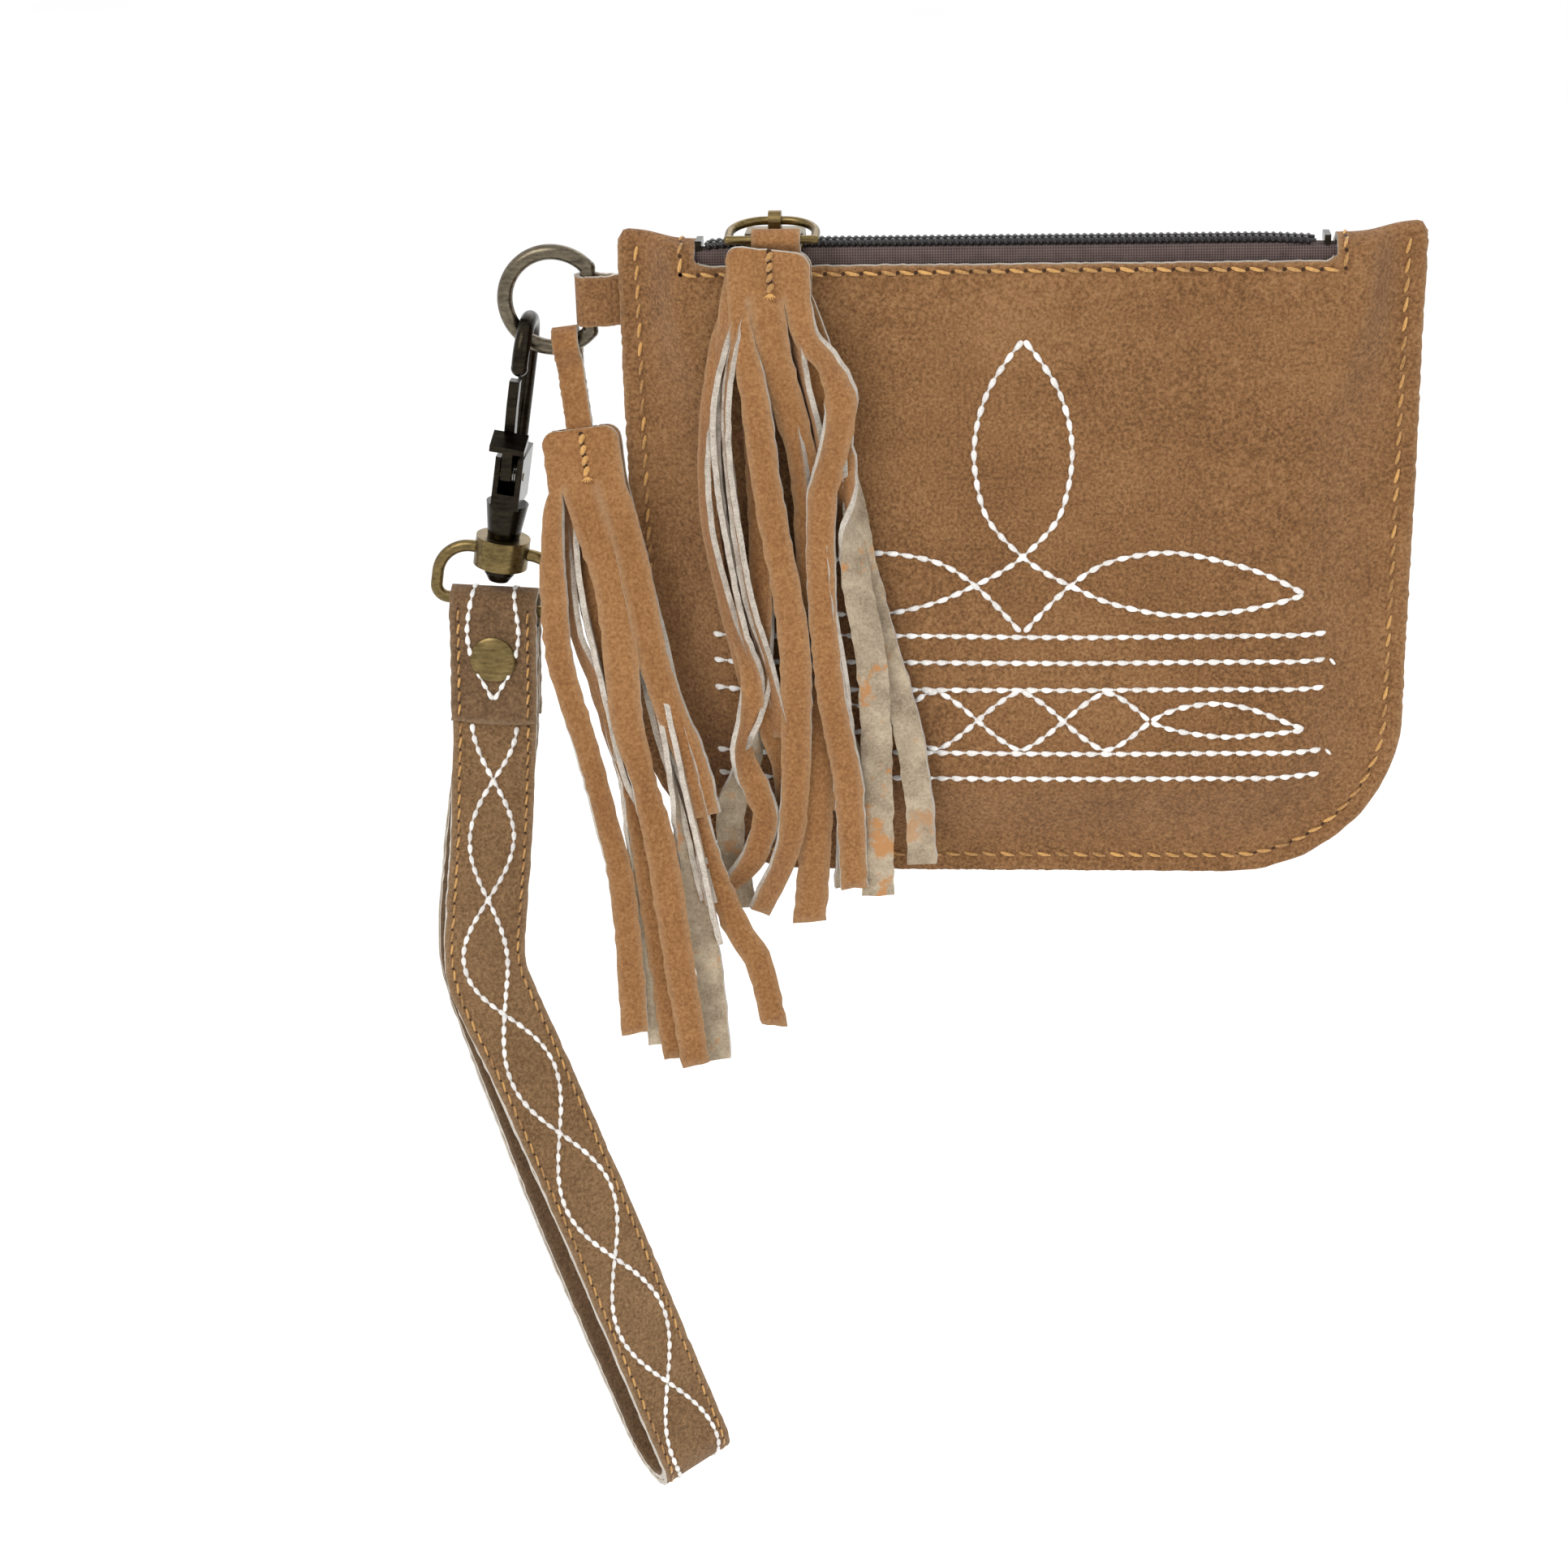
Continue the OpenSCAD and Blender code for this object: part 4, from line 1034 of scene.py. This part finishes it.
def build_side_tassel():
    """Courses are measured from the D ring, in the tassel's own leaning frame."""
    wide = 5.4
    shape = Shape()
    front = [
        (-7.5, -4.9, [(-7.3, -32, -1.8, 18, 4.2), (-8.6, -40, -2.0, 10, 4.8), (-9.6, -48, -2.0, 4, wide),
                      (-10.4, -61, -1.8, -4, 5.2), (-8.2, -76, -1.6, -22, 4.8),
                      (-6.2, -93, -1.8, -30, 4.8), (-4.8, -106, -1.8, -16, 5), (-5.4, -122, -1.8, -6, 5.4),
                      (-6.5, -137.6, -1.8, -2, 5.4)]),
        (-4.9, 2.0, [(-0.4, -34, -2.3, -4, 6.8), (2.2, -47, -2.6, -6, 7), (1.7, -63, -2.4, 2, 6.8),
                     (1.3, -75, -2.4, 4, 6.2), (2.6, -86.5, -2.8, -30, 5.2), (4.2, -100, -3.0, -10, 6),
                     (4.6, -124, -2.8, -2, 6), (4.9, -145.4, -2.6, 0, 5.4)]),
        (2.0, 7.5, [(5.9, -34, -2.0, -6, 6), (7.0, -46, -2.0, -10, 6.2), (8.0, -61.5, -1.8, -6, 6),
                    (9.8, -73.2, -1.4, 0, 6.2), (12.6, -84, -1.2, 6, 6.2), (14.2, -95, -1.2, 8, 5.4)]),
    ]
    head = (-7.5, 7.5, -16.0, -27.6)
    fringe(shape, head, front, -1.82, tones=(0.5, 0.56, 0.52), seed=30)
    rear = [
        (-7.5, -4.6, [(-7.0, -40, 1.4, 34, 4.6), (-6.6, -56, 1.0, 60, 4.8), (-4.4, -66, 0.8, 50, 4.8),
                      (-3.2, -80, 0.8, 70, 5), (-1.6, -90, 0.8, 100, 5), (-0.6, -110, 0.8, 150, 5),
                      (-1.8, -141, 0.8, 180, 5.4)]),
        (-4.6, -1.2, [(-2.9, -41, 0.9, 26, 4.8), (-1.8, -53, 0.6, 10, 5), (-1.9, -64, 0.6, 6, 5),
                      (-1.2, -77, 0.4, -16, 5), (0.0, -88, -0.2, -30, 5), (0.4, -102, -0.4, -10, 5),
                      (0.6, -123, -0.4, 0, 5), (0.7, -144, -0.4, 2, 4.8)]),
        (-1.2, 2.2, [(2.6, -44, 1.0, 50, 4.6), (5.8, -62, 0.8, 74, 4.8), (7.6, -76, 0.8, 80, 5),
                     (8.6, -90, 0.6, 110, 5), (9.2, -108, 0.4, 160, 5.2), (9.8, -124, 0.4, 178, 5.6),
                     (8.8, -145.6, 0.4, 182, 6)]),
        (2.2, 5.0, [(5.6, -50, 0.9, 40, 4.6), (8.4, -70, 0.6, 70, 4.8), (10.0, -90, 0.4, 84, 5),
                    (11.6, -104, 0.2, 80, 5), (12.6, -121, 0.2, 74, 5)]),
        (5.0, 7.5, [(7.8, -48, 1.2, 20, 4.6), (10.4, -70, 1.0, 60, 4.8), (12.2, -90, 0.6, 40, 5),
                    (13.0, -104, 0.4, 10, 5.2), (16.6, -118, 0.2, -8, 5.2), (20.2, -127, 0.0, -10, 5.4),
                    (21.6, -139.6, 0.0, 4, 5)]),
    ]
    fringe(shape, head, rear, 1.82, tones=(0.4, 0.5, 0.8, 0.4, 0.45), seed=40)
    hidden = [(-3.0, -20, 0.0, 10, 4), (-4.4, -36, 0.2, 60, 4.2), (-4.4, -50, 0.0, 76, 4.4),
              (-3.4, -66, -0.4, 80, 4.6), (-2.0, -84, -0.6, 70, 4.8), (1.6, -96, -0.8, 60, 5),
              (4.6, -112, -0.4, 80, 5)]
    loose_strip(shape, hidden, 51, 0.4)
    for number, shift in enumerate((3.2, 4.6, 6.0)):
        fan = [(0.4 + shift / 4, -20, 0.8, 20, 3), (1.4 + shift * 0.5, -46, 1.5, 74, 3),
               (3.0 + shift * 0.8, -72, 1.6 + 0.2 * number, 82, 3.2),
               (5.4 + shift, -92, 1.5 + 0.2 * number, 80, 3.6), (6.4 + shift, -106, 1.4, 84, 4),
               (6.6 + shift, -113, 1.2, 70, 4.2)]
        loose_strip(shape, fan, 52 + number, 0.4)
    shape.piece("side_tassel_strips", "side_tassel", TASSEL_SET, "suede",
                ["tassel_side_fringe"], turn=lean_side)
    band = Shape()
    loop(band, 2.65, 5.0, 23.5)
    band.piece("side_tassel_hanger", "side_tassel", TASSEL_SET, "suede",
               ["tassel_side_loop"], turn=lean_side)
    sewn = Shape()
    chain_of(sewn, 0.4, -17.0, (-2.38, -2.38), 2.1)
    sewn.piece("side_tassel_stitches", "side_tassel", TAN_SET, "thread_tan",
                ["tassel_side_thread"], turn=lean_side)


# ---------------------------------------------------------------- wrist strap
HOOK_TILT = math.radians(10)
BAR_DROP = 55.0
STRAP_WIDE, STRAP_LONG, STRAP_BOW = 16.8, 209.0, 8.0
STRAP_TILT = 3.0
FLAP_WIDE, FLAP_LONG, FOLD_R = 17.4, 24.0, 3.7
LAYER = 1.18
COURSE_STEPS, DOWN_COUNT = 54, 110
ROW_END = 11
RIVET_DROP = 10.5
STRAP_WHITE = dict(pitch=2.5, gap=0.6, width=1.1, rise=0.62, sink=0.08, link=0.45)


def on_hook(points):
    """From the hook's own frame, upright along the hook, to the drawing."""
    turn = np.array(Matrix.Rotation(HOOK_TILT, 3, "Y"))
    return np.asarray(points) @ turn.T + HOOK_PIVOT


def on_strap(points):
    """From the strap's upper end, whose origin is on the loop's bar, to the drawing."""
    turn = np.array(Matrix.Rotation(math.radians(STRAP_TILT), 3, "Y"))
    return np.asarray(points) @ turn.T + on_hook([[0, 0, -BAR_DROP]])[0]


def lean_at(share):
    """The strap's lean from the vertical after a share of its length, with one bend."""
    share = max(share, 0.0)
    early, bend = float(smooth((share - 0.08) / 0.1)), float(smooth((share - 0.33) / 0.1))
    return math.radians(STRAP_TILT + 5 * early - 25 * bend - 1.5 * share ** 2)


def strap_course():
    """Middle line of the strap as x, z points, one each 4 mm, from the loop's bar down."""
    place = on_hook([[0, 0, -BAR_DROP]])[0][[0, 2]]
    line = [place]
    for i in range(COURSE_STEPS + 4):
        a = lean_at((i + 0.5) / COURSE_STEPS)
        place = place - STRAP_LONG / COURSE_STEPS * np.array([math.sin(a), math.cos(a)])
        line.append(place)
    return np.array(line)


COURSE = strap_course()


def half_gap(s):
    """Half the gap between the strap's legs at a distance down it."""
    return 1.3 + 2.7 * float(smooth((s - 24) / 46)) + (STRAP_BOW - 4) * float(smooth((s - 95) / 55))


def strap_section():
    """The loop as distance and y: down the front leg, round the bottom bend, up the back leg."""
    first, end = 5.0, STRAP_LONG - STRAP_BOW
    down = [(s, -half_gap(s)) for s in np.linspace(first, end, DOWN_COUNT)]
    angles = np.linspace(0, math.pi, 22)[1:-1]
    bend = [(end + STRAP_BOW * math.sin(a), -STRAP_BOW * math.cos(a)) for a in angles]
    return np.array(down + bend + [(s, -y) for s, y in down[::-1]])


SECTION = strap_section()


def strap_points(across, out, first=0, last=None):
    """Strap points at a distance across its width and out from its middle layer.

    The loop turns a little as it hangs, so that its left edge comes forward."""
    section = SECTION[first:last]
    ahead = unit(np.gradient(SECTION, axis=0))[first:last]
    across = np.broadcast_to(across, len(section))
    s = section[:, 0] + out * ahead[:, 1]
    y = section[:, 1] - out * ahead[:, 0]
    f = np.clip(s / STRAP_LONG * COURSE_STEPS, 0, len(COURSE) - 1.001)
    i = f.astype(int)
    middle = COURSE[i] * (1 - (f - i))[:, None] + COURSE[i + 1] * (f - i)[:, None]
    lean = np.array([lean_at(v / STRAP_LONG) for v in s])
    yaw = np.radians(18) * smooth((s - 22) / 30) + np.radians(16) * smooth((s - 74) / 34)
    side = across * np.cos(yaw) - y * np.sin(yaw)
    depth = across * np.sin(yaw) + y * np.cos(yaw)
    x, z = middle[:, 0] + side * np.cos(lean), middle[:, 1] - side * np.sin(lean)
    return np.stack([x, Y_MID + depth, z], axis=-1)


def strap_layer(low, high, wide):
    """One leather layer of the strap as a shape, from out = low to out = high."""
    columns = np.linspace(-wide / 2, wide / 2, 15)
    middle = (low + high) / 2
    grid = np.stack([strap_points(c, middle) for c in columns], axis=1)
    sheet, shape = Sheet(), Shape()
    sheet.grid(grid, flip=True)
    half = (high - low) / 2
    sheet.solid(shape, half, half, rough=0.07)
    return shape


def build_strap():
    """The strap's two layers, suede outside and its lining inside, whose suede is darkened as painted shade.
    """
    outer = strap_layer(0.0, LAYER, STRAP_WIDE)
    covers = ["strap_outer", "strap_end_filler"]
    outer.piece("strap_suede", "strap", [STRAP_SUEDE, FLESH, RAW_EDGE], "suede", covers)
    inner = strap_layer(-LAYER, -0.02, STRAP_WIDE - 0.3)
    # The darker inner suede is painted shade.
    inner_set = [STRAP_INNER_SHADED, STRAP_INNER_SHADED, RAW_EDGE]
    inner.piece("strap_backing", "strap", inner_set, "suede_flesh", ["strap_lining"])


def sew_strap(shape, offset, first, last, **how):
    """Stitches along the strap's outer face. offset gives the place across at a distance."""
    section = SECTION[first:last]
    across = np.array([offset(s) for s in section[:, 0]])
    points = strap_points(across, LAYER, first, last)
    above = strap_points(across, LAYER + 1.0, first, last)
    sew(shape, points, unit(above - points), **how)


def build_strap_stitching():
    """Tan stitches along both edges, and two white waves that cross again and again."""
    edge = Shape()
    last_point = len(SECTION) - ROW_END
    for side in (-1, 1):
        sew_strap(edge, lambda s: side * 6.9, ROW_END, last_point, **FINE)
    edge.piece("strap_edge_stitching", "strap", TAN_SET, "thread_tan", ["strap_edge_thread"])
    wave = Shape()

    def swing(s):
        """The lenses get longer and wider down the strap; they cross first at 37."""
        crossings = (math.sqrt(25.2**2 + 3.4 * (s - 37)) - 25.2) / 1.7
        return (4.6 + 1.1 * float(smooth((s - 70) / 80))) * math.sin(math.pi * crossings)

    for way in (-1, 1):
        for first, last in ((ROW_END, DOWN_COUNT + ROW_END), (DOWN_COUNT + ROW_END, last_point)):
            sew_strap(wave, lambda s: way * swing(s), first, last, **STRAP_WHITE)
    wave.piece("strap_wave_stitching", "strap", [THREAD_WHITE], "thread_white", ["strap_wave_thread"])


def build_flap():
    """The strap's end, folded over the loop's bar and riveted, with its own stitching."""
    r = FOLD_R - LAYER / 2
    xs = np.linspace(-FLAP_WIDE / 2, FLAP_WIDE / 2, 17)
    grid = folded_band(r, r, np.linspace(-FLAP_LONG, -1.5, 24), 17, xs, 1.0)
    for row in (0, -1):
        grid[row, :, 2] -= 0.9 * (1 - (xs / 8.3) ** 2) * 0.5
    press = np.exp(-((xs[None] ** 2 + (grid[:, :, 2] + RIVET_DROP) ** 2) / 40)) * 0.25
    grid[:, :, 1] -= np.sign(grid[:, :, 1]) * press
    sheet = Sheet()
    sheet.grid(grid[::-1])
    shape = Shape()
    sheet.solid(shape, LAYER / 2, LAYER / 2, rough=0.07)
    flap_set = [FLAP_SUEDE, FLESH, RAW_EDGE]
    shape.piece("strap_flap_suede", "strap", flap_set, "suede", ["strap_flap"], turn=on_strap)
    tan, white = Shape(), Shape()
    for side in (-1, 1):
        for way in (-1, 1):
            line = [(side * 7.0, way * (FOLD_R - 0.02), z) for z in np.linspace(0, -FLAP_LONG + 1, 12)]
            sew(tan, line, [(0, way, 0)] * len(line), **FINE)
        line, normals = [], []
        tip, quarter = -19.3, math.pi * FOLD_R / 2
        for d in np.linspace(0, 2 * (quarter - tip), 71):
            near = min(d, 2 * (quarter - tip) - d)
            widen, narrow = math.sin(math.pi / 2 * min(near / 14.5, 1)), float(smooth((near - 14.5) / 10.6))
            x = side * (5.2 * widen - 1.2 * narrow)
            way = -1 if d < quarter - tip else 1
            angle = max(near + tip, 0) / FOLD_R
            line.append((x, way * FOLD_R * math.cos(angle), min(near + tip, 0) + FOLD_R * math.sin(angle)))
            normals.append((0, way * math.cos(angle), math.sin(angle)))
        sew(white, line, normals, **dict(STRAP_WHITE, rise=0.6))
    tan.piece("flap_edge_stitching", "strap", TAN_SET, "thread_tan", turn=on_strap)
    white.piece("flap_leaf_stitching", "strap", [THREAD_WHITE], "thread_white", turn=on_strap)


def build_rivet_cap():
    """A low domed cap with a rolled rim, turned on the rivet's axis."""
    profile = [
        (0, 1.3), (1.2, 1.27), (2.4, 1.14), (3.4, 0.9), (4, 0.66), (4.45, 0.52), (4.68, 0.3), (4.66, 0.08),
        (4.4, 0), (0, 0)
    ]
    sides = 48
    points = []
    for radius, height in profile:
        for k in range(sides):
            a = 2 * math.pi * k / sides
            points.append((radius * math.cos(a), -FOLD_R - height, -RIVET_DROP + radius * math.sin(a)))
    shape = Shape()
    shape.add(points, ring_faces(len(profile), sides))
    made = shape.piece("rivet_dome", "strap", [ANTIQUE_BRASS], "antique_brass", ["rivet_cap"], turn=on_strap)
    work = bmesh.new()
    work.from_mesh(made.data)
    bmesh.ops.remove_doubles(work, verts=work.verts, dist=1e-6)
    bmesh.ops.recalc_face_normals(work, faces=work.faces)
    work.to_mesh(made.data)
    work.free()


# ---------------------------------------------------------------- metal parts from the frame
METAL_NODES = {
    "slider_body": ANTIQUE_BRASS, "pull_ring": ANTIQUE_BRASS, "zip_stops": DARK_BRASS, "d_ring": RING_BRASS,
    "hook_body": DARK_BRASS, "swivel_post": DARK_BRASS, "hook_gate": DARK_BRASS, "gate_pin": ANTIQUE_BRASS,
    "gate_spring": SPRING_STEEL, "swivel_loop": ANTIQUE_BRASS, "rivet_post": ANTIQUE_BRASS,
    "rivet_back": ANTIQUE_BRASS,
}


def finish_metal():
    """Gives the frame's metal parts their plating."""
    for node, material in METAL_NODES.items():
        made = frame["nodes"][node]
        for slot in made.material_slots:
            slot.material = material


# ---------------------------------------------------------------- camera, light and floor
def build_camera():
    """The view of a hand-held object: a little from the right and from above, turned slightly."""
    azimuth, elevation, roll = math.radians(4.94), math.radians(22.19), math.radians(-1.64)
    level = math.cos(elevation)
    back = Vector((math.sin(azimuth) * level, -math.cos(azimuth) * level, math.sin(elevation)))
    right = (-back).cross(Vector((0, 0, 1))).normalized()
    up = right.cross(-back)
    x = right * math.cos(roll) + up * math.sin(roll)
    y = -right * math.sin(roll) + up * math.cos(roll)
    data = bpy.data.cameras.new("camera")
    sensor, field = 36.0, math.radians(29.26)
    data.sensor_width = sensor
    data.lens = sensor / (2 * math.tan(field / 2))
    camera = bpy.data.objects.new("camera", data)
    camera.matrix_world = Matrix((
        (x.x, y.x, back.x, 0.0625), (x.y, y.y, back.y, -0.5643), (x.z, y.z, back.z, 0.133), (0, 0, 0, 1)
    ))
    bpy.context.scene.collection.objects.link(camera)
    bpy.context.scene.camera = camera


def area_light(name, place, target, size, power, colour=(1.0, 1.0, 1.0)):
    """A soft light that faces a target."""
    data = bpy.data.lights.new(name, "AREA")
    data.shape = "RECTANGLE"
    data.size, data.size_y = size
    data.energy = power
    data.color = colour
    light = bpy.data.objects.new(name, data)
    light.location = place
    light.rotation_mode = "QUATERNION"
    light.rotation_quaternion = (Vector(target) - Vector(place)).to_track_quat("-Z", "Y")
    bpy.context.scene.collection.objects.link(light)


def build_studio():
    """Three soft lights, a white surround and a pale floor below the object."""
    centre = (cad_low + cad_high) / 2
    area_light("key", (-0.55, -0.75, 0.85), centre, (0.7, 0.7), 6.0, (1.0, 0.985, 0.96))
    area_light("fill", (0.9, -0.8, 0.25), centre, (1.0, 1.0), 1.5, (0.97, 0.985, 1.0))
    area_light("back", (0.2, 0.9, 0.7), centre, (1.0, 0.7), 3.0)
    world = bpy.data.worlds.new("studio")
    world.use_nodes = True
    background = world.node_tree.nodes["Background"]
    background.inputs["Color"].default_value = (1.0, 1.0, 1.0, 1.0)
    background.inputs["Strength"].default_value = 1.06
    bpy.context.scene.world = world
    bpy.context.scene.view_settings.view_transform = "Standard"
    level = cad_low.z - 0.16
    mesh = bpy.data.meshes.new("floor")
    reach = 6.0
    corners = [(a * reach, b * reach, level) for a, b in ((-1, -1), (1, -1), (1, 1), (-1, 1))]
    mesh.from_pydata(corners, [], [(0, 1, 2, 3)])
    m = Material("floor_paper", Roughness=0.9, Specular_IOR_Level=0.1)
    m.finish(m.ramp(m.noise(300.0), (0.3, (0.93, 0.93, 0.93, 1)), (0.7, (0.97, 0.97, 0.97, 1))))
    mesh.materials.append(m.data)
    floor = bpy.data.objects.new("floor", mesh)
    bpy.context.scene.collection.objects.link(floor)


build_camera()
build_studio()
finish_metal()
build_pouch()
build_lining()
build_seams()
build_boot_stitch()
build_zip()
build_tab()
build_front_tassel()
build_side_tassel()
build_strap()
build_strap_stitching()
build_flap()
build_rivet_cap()
